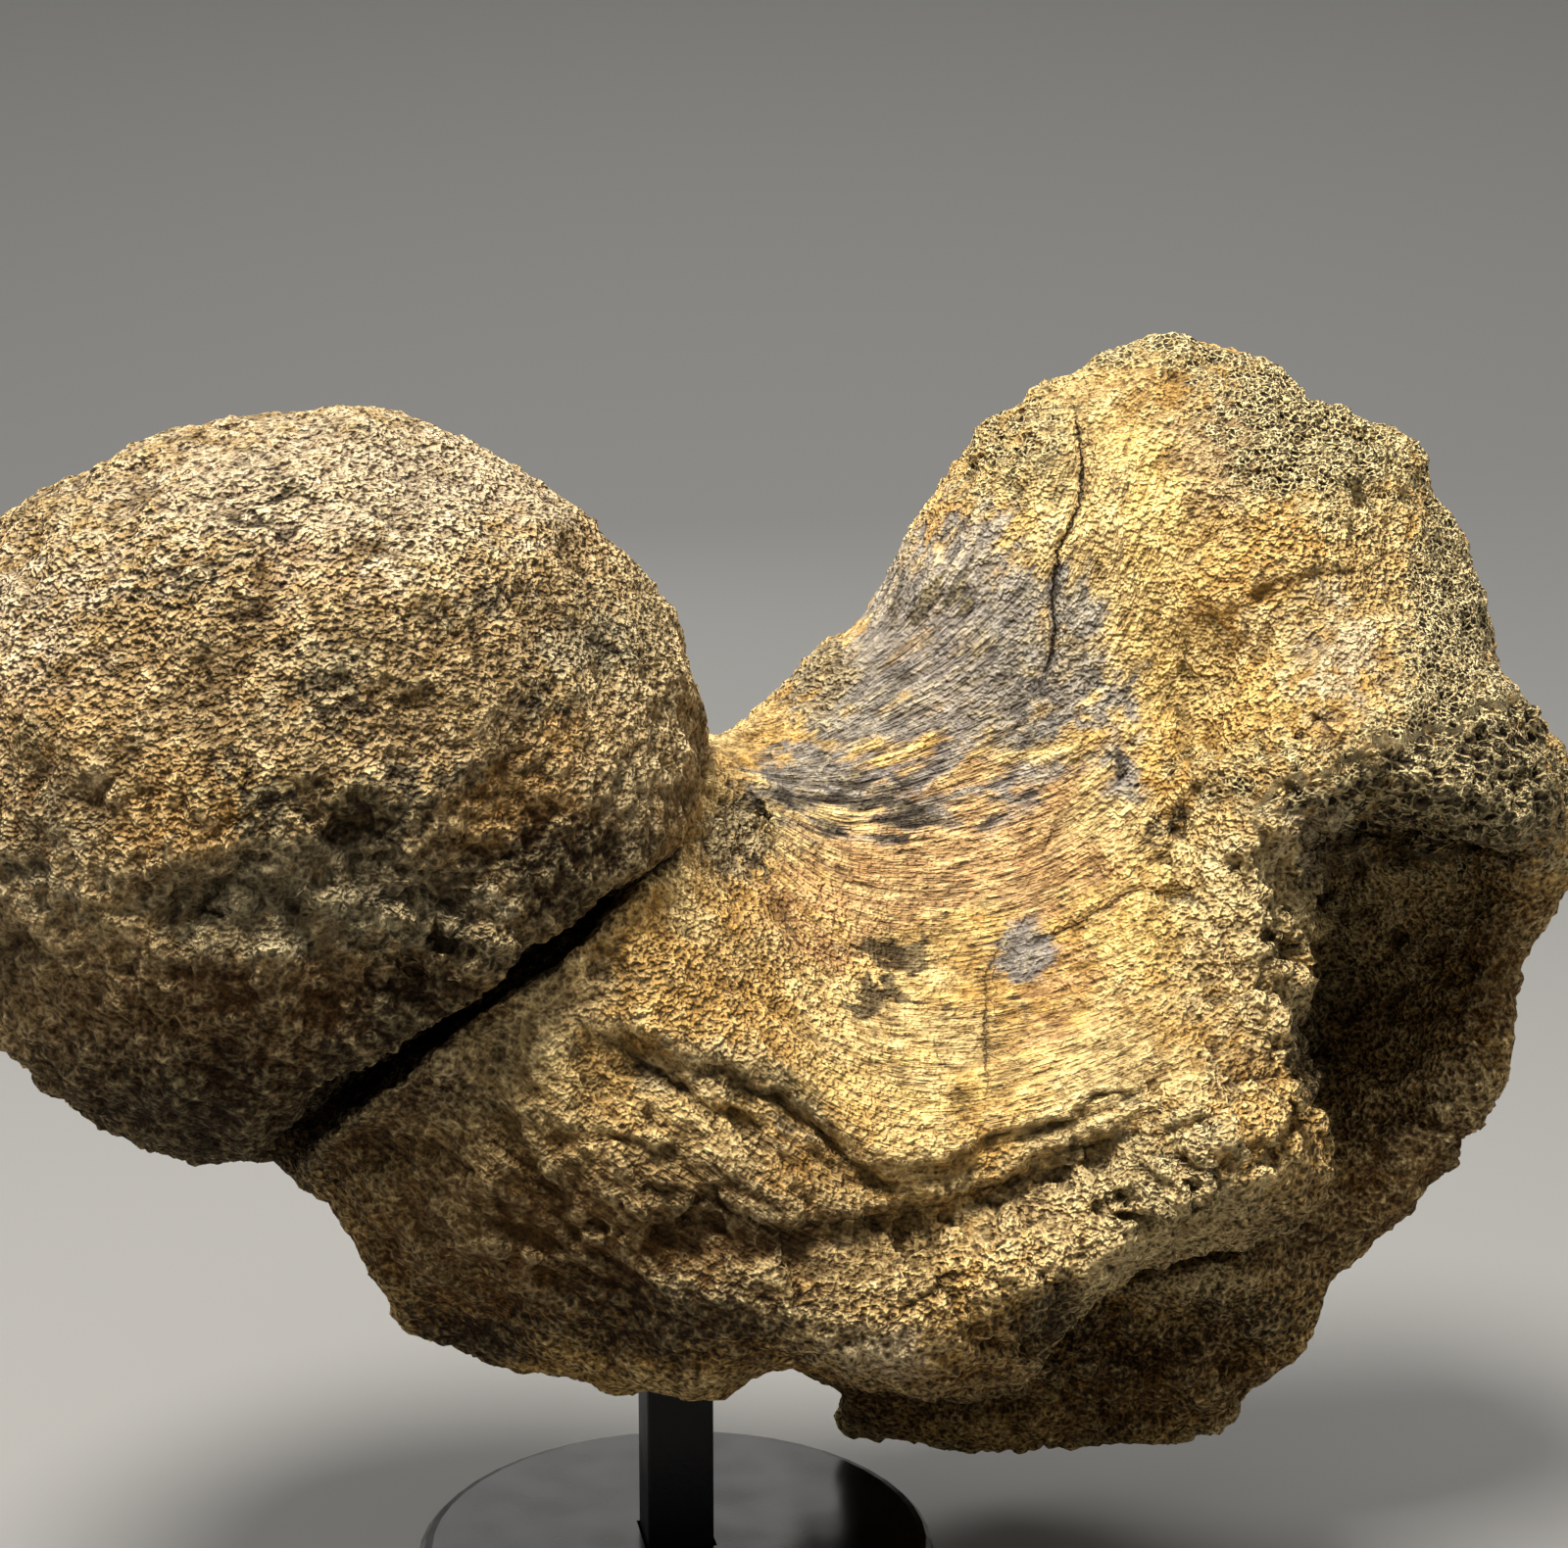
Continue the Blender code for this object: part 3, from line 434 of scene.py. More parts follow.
              (40.8, -4.7), (45, 0.6), (48, 7.2))),
        (40, ((-1.2, -10.8), (8, -17), (16.4, -18.7), (25.4, -18), (33.6, -15.6), (40.8, -12), (48, -8.4))),
        (49, ((-9.6, -12), (0, -22.2), (8.4, -27.6), (18, -28.8), (28.8, -27.6), (38.4, -25.2), (48, -20.4),
              (56.4, -15.6))),
        (58, ((-13.2, -14.4), (-4.8, -26.4), (6, -34.8), (18, -38.4), (31.2, -36.6), (43.2, -32.4),
              (55.2, -25.2), (62.4, -19.2))),
        (67, ((-16.8, -19.2), (-7.7, -32.4), (0.4, -39.6), (8.4, -45), (16.4, -47.4), (31.2, -45),
              (45.6, -39.6), (62.4, -31.2))),
        (75, ((-23.8, -26.4), (-15.7, -36.6), (-9.2, -41.4), (-2.3, -46.8), (7.2, -52.8), (19.2, -54),
              (33.6, -51.6), (50.4, -48), (63.6, -43.2))),
        (84, ((-36, -32.4), (-28.8, -39.6), (-18, -48), (-7.2, -55.2), (3.6, -61.2), (19.2, -63.6),
              (36, -61.2), (54, -56.4))),
        (94, ((-47.8, -39.1), (-38.4, -46.8), (-28.8, -54), (-16.8, -62.4), (-4.8, -68.4), (9.6, -72),
              (24, -73.2), (42, -72))),
        (102, ((-56.4, -46.8), (-48.8, -55.2), (-38.4, -62.4), (-28.8, -68.4), (-19.2, -73.2),
               (-4.8, -76.8))),
    ),
    # zones that shape the bone and don't colour it
    "shapeOnly": ("rough", "rim", "coarse", "splintered"),
    # zones whose edges are broken up by a grain
    "ragged": ("spongy", "greyBlue", "peach", "gold", "mauve", "pale", "creamAndPaintedLight", "orange", "grey",
               "scar", "stain", "olive", "matrix"),
    # unevenness that is real relief: zone, kind of texture, size in mm, height in mm
    "relief": (
        ("all", "CLOUDS", 6.0, 0.9),
        ("coarse", "CLOUDS", 2.6, 1.3),
        ("coarse", "CLOUDS", 1.3, 0.6),
        ("rough", "CLOUDS", 4.5, 2.2),
        ("ballSkin", "CLOUDS", 1.5, 0.8),
        ("ballLow", "CLOUDS", 4.0, 1.1),
        ("rim", "CLOUDS", 5.5, 11.0),
        ("spongy", "VORONOI", 2.1, 0.8),
        ("honeycomb", "VORONOI", 2.6, 1.6),
    ),
    # how far drawn lines and zones drift: size of the drift and its reach, in mm
    "lineWander": (2.2, 0.5),
    "zoneWander": (5.0, 2.6),
    # clouds: size in mm, value for 0, value for 1, octaves
    "clouds": {
        "grain": (1.9, -0.55, 0.55, 2),
        "crumbs": (1.4, -0.4, 0.4, 2),
        "torn": (1.5, -0.5, 0.5, 2),
        "gaps": (9.0, -0.5, 0.5, 2),
        "patches": (8.0, -0.2, 0.6, 4),
        "drifts": (19.0, -0.4, 0.4, 4),
    },
    # relief along the grain: how often it changes along, across and into the bone, a mm
    "fibreGrain": (0.2, 0.9, 0.2),
    "splinterGrain": (0.11, 0.42, 0.14),
    "ballGrain": (0.14, 0.8, 0.25),
    "tornGrain": (0.2, 1.0, 0.3),
    "fibreHeight": 0.35,
    "splinterHeight": 1.0,
    "poreSize": (0.95, 0.95, 0.9),
    "honeycombSize": (2.9, 2.4, 1.7),
    "facets": ((8.0, 0.25), (3.4, 0.3)),   # size of the flakes in mm, how strong
    "ballHeight": 0.4,
    "ballEnd": ((-110, -88), (-60, -45.6), (-48, -35), (-33.6, -23.6), (-13.2, -9.6), (-8.6, 2), (-8, 60)),
    "ballMiddle": (-25, -70),   # the grain of the ball runs round this place
    "ballCentre": (-41.6, -12, 110.6),
    "ballHalfSizes": (46.9, 44, 43.8),
    "ballReach": 1.13,
    "ballFade": 0.09,
    "shelterRays": 14,
    "shelterReach": 0.04,
    "fineDent": 0.16,   # depth in mm at which a small dent or bump counts in full
    "coarseDent": 1.1,
    "blotchSize": 14,   # of the back's spongy and splintery patches, in mm
    "crackReach": 1.5,
}


def hump(where, place, halfSizes, sharpness=1.0):
    offset = (where - np.array(place)) / np.array(halfSizes)
    return np.exp(-((offset**2).sum(1) ** sharpness))


def pushedIn(where):
    push = np.zeros(len(where))
    for _, path, drop, reach, step in bone["ledges"]:
        distance, side, run = besidePath(where, path)
        cliff = np.clip(side * distance / step, 0, 1)
        push += drop * cliff * np.exp(-((distance / reach) ** 2)) * np.clip(run / 6, 0, 1)
    for _, path, halfWidth, depth, _ in bone["cracks"]:
        distance, _, run = besidePath(where, path)
        push += depth * np.exp(-((distance / halfWidth) ** 2)) * np.clip(run / 2 + 0.3, 0, 1)
    for _, place, halfSizes, height in bone["lumps"]:
        push -= height * hump(where, place, halfSizes)
    return push


def wander(points, size, reach):
    # a slow drift of each place, so that drawn lines and zones get ragged
    drift = [noise.noise_vector(Vector(p) / (size * mm)) for p in points]
    return np.array([(d.x, d.z) for d in drift]) * reach


def ballMask(points):
    offset = (points / mm - np.array(bone["ballCentre"])) / np.array(bone["ballHalfSizes"])
    inside = np.clip((bone["ballReach"] - np.linalg.norm(offset, axis=1)) / bone["ballFade"], 0, 1)
    distance, side, _ = besidePath(onSightPlane(points), bone["ballEnd"])
    return inside * np.clip(0.5 - side * distance, 0, 1)


def zoneMasks(points, normals):
    facing = -(normals * fromEye(points)).sum(1)
    front = np.clip(facing * 4 + 0.6, 0, 1)
    where = onSightPlane(points) + wander(points, *bone["zoneWander"])
    ball = ballMask(points)
    masks = {}
    for name, patches in bone["zones"].items():
        left = np.ones(len(where))
        for right, up, halfWidth, halfHeight, amount in patches:
            left *= 1 - amount * hump(where, (right, up), (halfWidth, halfHeight), 1.5)
        masks[name] = (1 - left) * front
    for name in ("fibrous", "spongy", "honeycomb", "peach", "gold", "mauve"):
        masks[name] *= 1 - ball
    masks["fibrous"] *= 1 - masks["matrix"]
    blotches = np.array([noise.noise(Vector(p) / (bone["blotchSize"] * mm)) for p in points])
    broken = np.clip(-facing * 3 - 0.2, 0, 1) * (1 - ball)
    masks["spongy"] = np.maximum(masks["spongy"], broken * np.clip(blotches * 3 + 0.75, 0, 1))
    masks["rough"] = np.maximum(masks["rough"], broken * 0.7)
    masks["fibrous"] = np.maximum(masks["fibrous"], broken * np.clip(-blotches * 3, 0, 0.8))
    masks["coarse"] = (1 - 0.8 * masks["fibrous"]) * (1 - ball)
    masks["ballSkin"] = ball
    masks["ballLow"] = ball * np.clip((14 - where[:, 1]) / 16, 0.1, 1)
    return masks


def brokenFacets(points, size):
    # each cell of the break is its own tilted flake
    heights = np.empty(len(points))
    for i, point in enumerate(points / (size * mm)):
        spots = noise.voronoi(point)[1]
        tilt = noise.cell_vector(spots[0] * 7.3)
        heights[i] = (Vector(point) - spots[0]).dot(tilt) + 0.5 * noise.cell(spots[0] * 5.1)
    return heights * size


def clouded(points, name):
    # 0 to 1, with ragged edges
    size, low, high, octaves = bone["clouds"][name]
    values = np.array([noise.fractal(Vector(p), 0.45, 2.1, octaves) for p in points / (size * mm)])
    return np.clip((values - low) / (high - low), 0, 1)


def fibreRun(points):
    # along the fibres, across them and into the bone, in mm
    where = onSightPlane(points)
    places, across, along = [], [], []
    for value, path in bone["fibres"]:
        corners = np.array(path, float)
        lengths = np.linalg.norm(np.diff(corners, axis=0), axis=1)
        places.append(corners)
        across += [value] * len(corners)
        along += list(np.concatenate([[0], np.cumsum(lengths)]))
    places = np.vstack(places)
    run = np.column_stack([
        bentThrough(places, np.array(along, float), where),
        bentThrough(places, np.array(across, float), where),
        points[:, 1] / mm,
    ])
    offset = where - np.array(bone["ballMiddle"])
    away = np.hypot(*offset.T)
    turned = np.column_stack([np.arctan2(*offset.T) * 180, away * 0.6, points[:, 1] / mm * 2])
    return np.where(ballMask(points)[:, None] > 0.5, turned, run)


def socketCutter():
    bpy.ops.object.select_all(action="DESELECT")
    low, top = bone["socketFoot"], bone["socketTop"]
    bpy.ops.mesh.primitive_cube_add(size=1)
    cutter = bpy.context.object
    cutter.scale = (bone["socketWidth"] * mm, bone["socketWidth"] * mm, (top - low) * mm)
    cutter.rotation_euler = (0, 0, math.radians(bone["postTurn"]))
    cutter.location = (0, 0, (top + low) / 2 * mm)
    bpy.ops.object.transform_apply(location=True, rotation=True, scale=True)
    return cutter


def roughSkin():
    piece = copyOfNode("occipital_condyle", "fossilBone")
    applied(piece, "rounded", "SUBSURF", levels=2, render_levels=2)
    cutter = socketCutter()
    applied(piece, "socket", "BOOLEAN", operation="DIFFERENCE", object=cutter, solver="EXACT")
    bpy.data.objects.remove(cutter)
    applied(piece, "skin", "REMESH", mode="VOXEL",
            voxel_size=bone["voxel"] * mm)
    applied(piece, "soften", "SMOOTH", iterations=bone["softenRounds"], factor=bone["softenAmount"])
    return piece


def groupFrom(piece, name, weights):
    group = piece.vertex_groups.new(name=name)
    for level in range(1, 21):
        chosen = np.flatnonzero(np.round(weights * 20) == level)
        if len(chosen):
            group.add(chosen.tolist(), level / 20, "REPLACE")


def carveBone(piece):
    points, normals = readRows(piece), readRows(piece, "normal")
    rays = fromEye(points)
    facing = np.clip(-(normals * rays).sum(1), 0, 1)
    where = onSightPlane(points) + wander(points, *bone["lineWander"])
    points += rays * (pushedIn(where) * facing * mm)[:, None]
    writePoints(piece, points)
    print("bone carved")


def roughenBone(piece):
    points, normals = readRows(piece), readRows(piece, "normal")
    masks = zoneMasks(points, normals)
    outside = np.abs(points[:, :2]).max(1) > bone["postRoom"] * mm
    above = points[:, 2] > bone["postTop"]
    masks["all"] = np.ones(len(points))
    for name in sorted({row[0] for row in bone["relief"]}):
        groupFrom(piece, name, masks[name] * (outside | above))
    for name, kind, size, height in bone["relief"]:
        texture = bpy.data.textures.new(f"{name} {kind} {size}", kind)
        texture.noise_scale = size * mm
        applied(piece, texture.name, "DISPLACE", texture=texture, texture_coords="LOCAL",
                strength=height * mm, mid_level=0.5, vertex_group=name)
    points, normals = readRows(piece), readRows(piece, "normal")
    run = fibreRun(points)
    lengthwise = np.where(masks["ballSkin"][:, None] > 0.5, bone["ballGrain"], bone["fibreGrain"])
    amounts = masks["fibrous"] * bone["fibreHeight"]
    amounts += (masks["ballSkin"] + 0.4 * masks["ballLow"]) * bone["ballHeight"]
    heights = np.array([noise.fractal(Vector(p), 0.7, 2.1, 3) for p in run * lengthwise]) * amounts
    split = np.flatnonzero(masks["splintered"] > 0.05)
    splinters = np.array([noise.fractal(Vector(p), 0.6, 2.1, 3) for p in run[split] * bone["splinterGrain"]])
    heights[split] += splinters * masks["splintered"][split] * bone["splinterHeight"]
    broken = np.flatnonzero(masks["rough"] > 0.05)
    for size, amount in bone["facets"]:
        heights[broken] += brokenFacets(points[broken], size) * masks["rough"][broken] * amount
    writePoints(piece, points + normals * (heights * outside * mm)[:, None])
    print("bone roughened")


def triangleCount(piece):
    return sum(len(face.vertices) - 2 for face in piece.data.polygons)


def thinOut(piece):
    # the back first, then all over
    points, normals = readRows(piece), readRows(piece, "normal")
    back = averaged(piece, (normals * fromEye(points)).sum(1), 6) > 0.1
    share = back.mean()
    groupFrom(piece, "back", back.astype(float))
    if triangleCount(piece) > bone["triangles"]:
        ratio = 1 - share * (1 - bone["backShare"])
        applied(piece, "plain back", "DECIMATE", ratio=ratio, vertex_group="back")
    applied(piece, "facets", "DECIMATE", ratio=min(1, bone["triangles"] / triangleCount(piece)))
    piece.vertex_groups.clear()
    low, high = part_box("occipital_condyle")
    writePoints(piece, np.clip(readRows(piece), low, high))
    piece.data.shade_smooth()
    print("bone has", len(piece.data.polygons), "faces")


def attributeFrom(piece, name, values):
    kind = "FLOAT" if values.ndim == 1 else "FLOAT_VECTOR"
    made = piece.data.attributes.new(name, kind, "POINT")
    made.data.foreach_set("value" if values.ndim == 1 else "vector", values.ravel().astype(np.float32))


def crackDistance(points, facing):
    # signed distance to the nearest crack or ledge foot in mm, and how much its dark line counts here; at a
    # ledge foot the line is a painted shadow
    where = onSightPlane(points) + wander(points, *bone["lineWander"])
    signed, near = np.full(len(points), bone["crackReach"]), np.zeros(len(points))
    gaps = clouded(points, "gaps") * 0.7 + 0.3
    lines = [(path, 0, line) for _, path, _, _, line in bone["cracks"]]
    # along the foot of each ledge runs a painted shadow line, broken by gaps
    lines += [(path, step, gaps * drop * 0.3) for _, path, drop, _, step in bone["ledges"]]
    for path, foot, line in lines:
        distance, side, run = besidePath(where, path)
        away = side * distance - foot
        here = np.clip((1.6 - np.abs(away)) / 0.5, 0, 1) * np.clip(run / 4, 0, 1) * line
        closer = np.abs(away) < np.abs(signed)
        signed = np.where(closer, away, signed)
        near = np.where(closer, here, near)
    return signed, near * np.clip(facing * 4, 0, 1)


def sheltered(piece, points, normals):
    # how much of the sky above a place is hidden from it, from 0 to 1
    tree = BVHTree.FromPolygons(points.tolist(), [tuple(face.vertices) for face in piece.data.polygons])
    count = bone["shelterRays"]
    turns = np.arange(count) * 2.39996   # the golden angle
    rises = (np.arange(count) + 0.5) / count
    flat = np.sqrt(1 - rises**2)
    skyward = np.column_stack([flat * np.cos(turns), flat * np.sin(turns), rises])
    hidden = np.zeros(len(points))
    for i, (point, normal) in enumerate(zip(points + normals * 0.4 * mm, normals)):
        seen = [way for way in skyward if way @ normal > 0]
        blocked = sum(tree.ray_cast(point, way, bone["shelterReach"])[0] is not None for way in seen)
        hidden[i] = (blocked + 0.6 * (count - len(seen))) / count
    return averaged(piece, hidden, 2)


def markSurface(piece):
    points, normals = readRows(piece), readRows(piece, "normal")
    broad = averaged(piece, normals, 10)
    broad /= np.linalg.norm(broad, axis=1)[:, None]
    grain = clouded(points, "grain")
    masks = zoneMasks(points, broad)
    run = fibreRun(points)
    crumbs = clouded(points, "crumbs")
    torn = clouded(run * bone["tornGrain"] * mm, "torn")
    edges = grain + (torn - grain) * np.maximum(masks["fibrous"], 0.5 * masks["ballSkin"])
    for name, mask in masks.items():
        if name in bone["shapeOnly"]:
            continue
        if name in bone["ragged"]:
            edge = crumbs if name == "scar" else edges
            mask = np.clip((mask + (edge - 0.5) * 0.8 - 0.25) / 0.45, 0, 1) * np.clip(mask * 5, 0, 1)
        attributeFrom(piece, name, mask)
    attributeFrom(piece, "grain", grain)
    attributeFrom(piece, "patches", clouded(points, "patches"))
    attributeFrom(piece, "drifts", clouded(points + 0.3, "drifts"))
    attributeFrom(piece, "fibreRun", run)
    fine = points / (np.array(bone["poreSize"]) * mm)
    wide = points / (np.array(bone["honeycombSize"]) * mm)
    attributeFrom(piece, "cells", np.where(masks["honeycomb"][:, None] > 0.5, wide, fine))
    attributeFrom(piece, "shelter", sheltered(piece, points, normals))
    signed, near = crackDistance(points, -(broad * fromEye(points)).sum(1))
    attributeFrom(piece, "crackSide", signed)
    attributeFrom(piece, "crackNear", near)
    fine = ((points - averaged(piece, points, 4)) * normals).sum(1) / mm / bone["fineDent"]
    coarse = ((points - averaged(piece, points, 40)) * broad).sum(1) / mm / bone["coarseDent"]
    for name, side in (("ridge", 1), ("hollow", -1)):
        attributeFrom(piece, name, np.clip(side * fine, 0, 1) * 0.6 + np.clip(side * coarse, 0, 1) * 0.4)


fossilBone = roughSkin()
carveBone(fossilBone)
roughenBone(fossilBone)
thinOut(fossilBone)
markSurface(fossilBone)
print("bone shaped")


def put(tree, kind, inputs=None, **settings):
    made = tree.nodes.new("ShaderNode" + kind)
    for key, value in settings.items():
        setattr(made, key, value)
    for socket, value in (inputs or {}).items():
        if isinstance(value, bpy.types.NodeSocket):
            tree.links.new(value, made.inputs[socket])
        else:
            made.inputs[socket].default_value = value
    return made


def calc(tree, operation, first, second=0.0, clamp=False):
    return put(tree, "Math", {0: first, 1: second}, operation=operation, use_clamp=clamp).outputs[0]


def blended(tree, amount, first, second, how="MIX"):
    return put(tree, "Mix", {0: amount, 6: first, 7: second}, data_type="RGBA", blend_type=how).outputs[2]


def stretched(tree, value, low, high, toLow=0.0, toHigh=1.0):
    inputs = {"Value": value, "From Min": low, "From Max": high, "To Min": toLow, "To Max": toHigh}
    return put(tree, "MapRange", inputs).outputs["Result"]


def newGroup(name, inputs, outputs):
    tree = bpy.data.node_groups.new(name, "ShaderNodeTree")
    for label, kind, value in inputs:
        socket = tree.interface.new_socket(label, in_out="INPUT", socket_type="NodeSocket" + kind)
        if value is not None:
            socket.default_value = value
    for label in outputs:
        tree.interface.new_socket(label, in_out="OUTPUT", socket_type="NodeSocketFloat")
    return tree, tree.nodes.new("NodeGroupInput").outputs, tree.nodes.new("NodeGroupOutput").inputs


def perMm(tree, size):
    return calc(tree, "DIVIDE", 1000.0, size)


def grainGroup():
    # fine speckle, the same in all directions
    tree, given, result = newGroup(
        "grain", (("Place", "Vector", None), ("Size", "Float", 1.0), ("Contrast", "Float", 0.25)), ("Grain",))
    speck = put(tree, "TexNoise", {"Vector": given["Place"], "Scale": perMm(tree, given["Size"]),
                                   "Detail": 1.0, "Roughness": 0.6})
    low = calc(tree, "SUBTRACT", 0.5, given["Contrast"])
    high = calc(tree, "ADD", 0.5, given["Contrast"])
    tree.links.new(stretched(tree, speck.outputs["Fac"], low, high), result["Grain"])
    return tree


def fibreGroup():
    # long streaks along the fibres and short dark splits between them
    tree, given, result = newGroup(
        "fibre streaks", (("Run", "Vector", None), ("Width", "Float", 0.8), ("Length", "Float", 7.0),
                          ("Patches", "Float", 1.0)),
        ("Streaks", "Splits", "Height"))
    parts = put(tree, "SeparateXYZ", {0: given["Run"]}).outputs
    along = calc(tree, "DIVIDE", parts["X"], given["Length"])
    across = calc(tree, "DIVIDE", parts["Y"], given["Width"])
    depth = calc(tree, "DIVIDE", parts["Z"], given["Length"])
    flow = put(tree, "CombineXYZ", {"X": along, "Y": across, "Z": depth}).outputs[0]
    streaks = put(tree, "TexNoise", {"Vector": flow, "Scale": 1.0, "Detail": 2.0, "Roughness": 0.7})
    lines = put(tree, "TexNoise", {"Vector": flow, "Scale": 1.3, "Detail": 1.0, "Roughness": 0.5})
    middle = calc(tree, "ABSOLUTE", calc(tree, "SUBTRACT", lines.outputs["Fac"], 0.47))
    splits = stretched(tree, middle, 0.004, 0.028, 1.0, 0.0)
    splits = calc(tree, "MULTIPLY", splits, given["Patches"])
    streaks = stretched(tree, streaks.outputs["Fac"], 0.3, 0.7)
    tree.links.new(streaks, result["Streaks"])
    tree.links.new(splits, result["Splits"])
    tree.links.new(calc(tree, "SUBTRACT", calc(tree, "MULTIPLY", streaks, 0.6), splits), result["Height"])
    return tree


def poreGroup():
    # open cells between thin walls, bent out of shape by a grain; places are counted in cells
    tree, given, result = newGroup(
        "pore network", (("Cells", "Vector", None), ("Wall", "Float", 0.08), ("Bend", "Float", 0.5)),
        ("Pores", "Height"))
    reach = stretched(tree, given["Bend"], 0.0, 1.0, -0.3, 0.3)
    push = put(tree, "VectorMath", {0: (0.7, 0.5, -0.6), "Scale": reach}, operation="SCALE").outputs[0]
    place = put(tree, "VectorMath", {0: given["Cells"], 1: push}, operation="ADD").outputs[0]
    cells = put(tree, "TexVoronoi", {"Vector": place, "Scale": 1.0}, feature="DISTANCE_TO_EDGE")
    wider = calc(tree, "ADD", given["Wall"], 0.09)
    pores = stretched(tree, cells.outputs["Distance"], given["Wall"], wider)
    tree.links.new(pores, result["Pores"])
    tree.links.new(calc(tree, "MULTIPLY", pores, -1.0), result["Height"])
    return tree


effects = {
    "grain": grainGroup(),
    "fibres": fibreGroup(),
    "pores": poreGroup(),
}


def effect(tree, name, **inputs):
    return put(tree, "Group", inputs, node_tree=effects[name]).outputs


def attribute(tree, name, output="Fac"):
    return put(tree, "Attribute", attribute_name=name).outputs[output]


boneFinish = {
    "skinLight": tone(246, 214, 148),
    "skin": tone(216, 172, 98),
    "skinDark": tone(126, 88, 38),
    "wall": tone(246, 222, 162),
    # dark of pores, ball pits and cracks; it also paints the shade inside them
    "pore": tone(34, 22, 9),
    "ballLight": tone(206, 178, 134),
    "ball": tone(166, 136, 88),
    "ballDark": tone(92, 72, 42),
    # dark of fibre splits, and of dirt with painted shade in hollows and sheltered places
    "dirtAndShade": tone(35, 22, 3),
    # pale wear on ridges, partly a painted highlight, less where the sky is hidden
    "wearAndHighlight": tone(246, 222, 162),
    # zone, colour, how strong
    "tints": (
        ("gold", tone(250, 211, 128), 0.65),
        ("peach", tone(204, 158, 110), 0.75),
        ("orange", tone(196, 142, 62), 0.5),
        ("mauve", tone(158, 130, 98), 0.75),
        # painted light, with some truly paler bone
        ("pale", tone(218, 200, 156), 0.45),
        # cream colour of the ball's top, and painted light
        ("creamAndPaintedLight", tone(224, 206, 178), 0.6),
        ("grey", tone(150, 142, 118), 0.65),
        ("greyBlue", tone(136, 138, 141), 0.85),
        ("olive", tone(92, 80, 46), 0.7),
        ("matrix", tone(144, 128, 98), 0.85),
        # painted shade, partly the bone's own darker brown
        ("shade", tone(90, 56, 2), 0.85),
        # painted shadow in gaps, under overhangs and in hollows
        ("paintedCavityShade", tone(38, 24, 2), 0.85),
        ("scar", tone(58, 50, 40), 0.85),
        ("stain", tone(58, 50, 40), 0.85),
    ),
    "darkStreak": (0.28, 0.21, 0.12, 1),   # the patch's colour is multiplied by these
    "lightStreak": (1.64, 1.62, 1.56, 1),
    "fibreWidth": 0.44,
    "fibreLength": 4.4,
    "poreWall": 0.08,
    "honeycombWall": 0.03,
    "crackWidth": 0.14,
    "speckSize": 0.75,
    "ballStreaks": 0.3,   # how much of the ball's shade comes from streaks
    "dirtAndShadeAmount": (0.88, 0.5),   # on plain skin, in spongy bone
    "fibreRelief": 0.55,
    "poreRelief": 0.9,
    "crackRelief": 0.5,
    "reliefScale": 0.0015,
    "specular": 0.18,
}


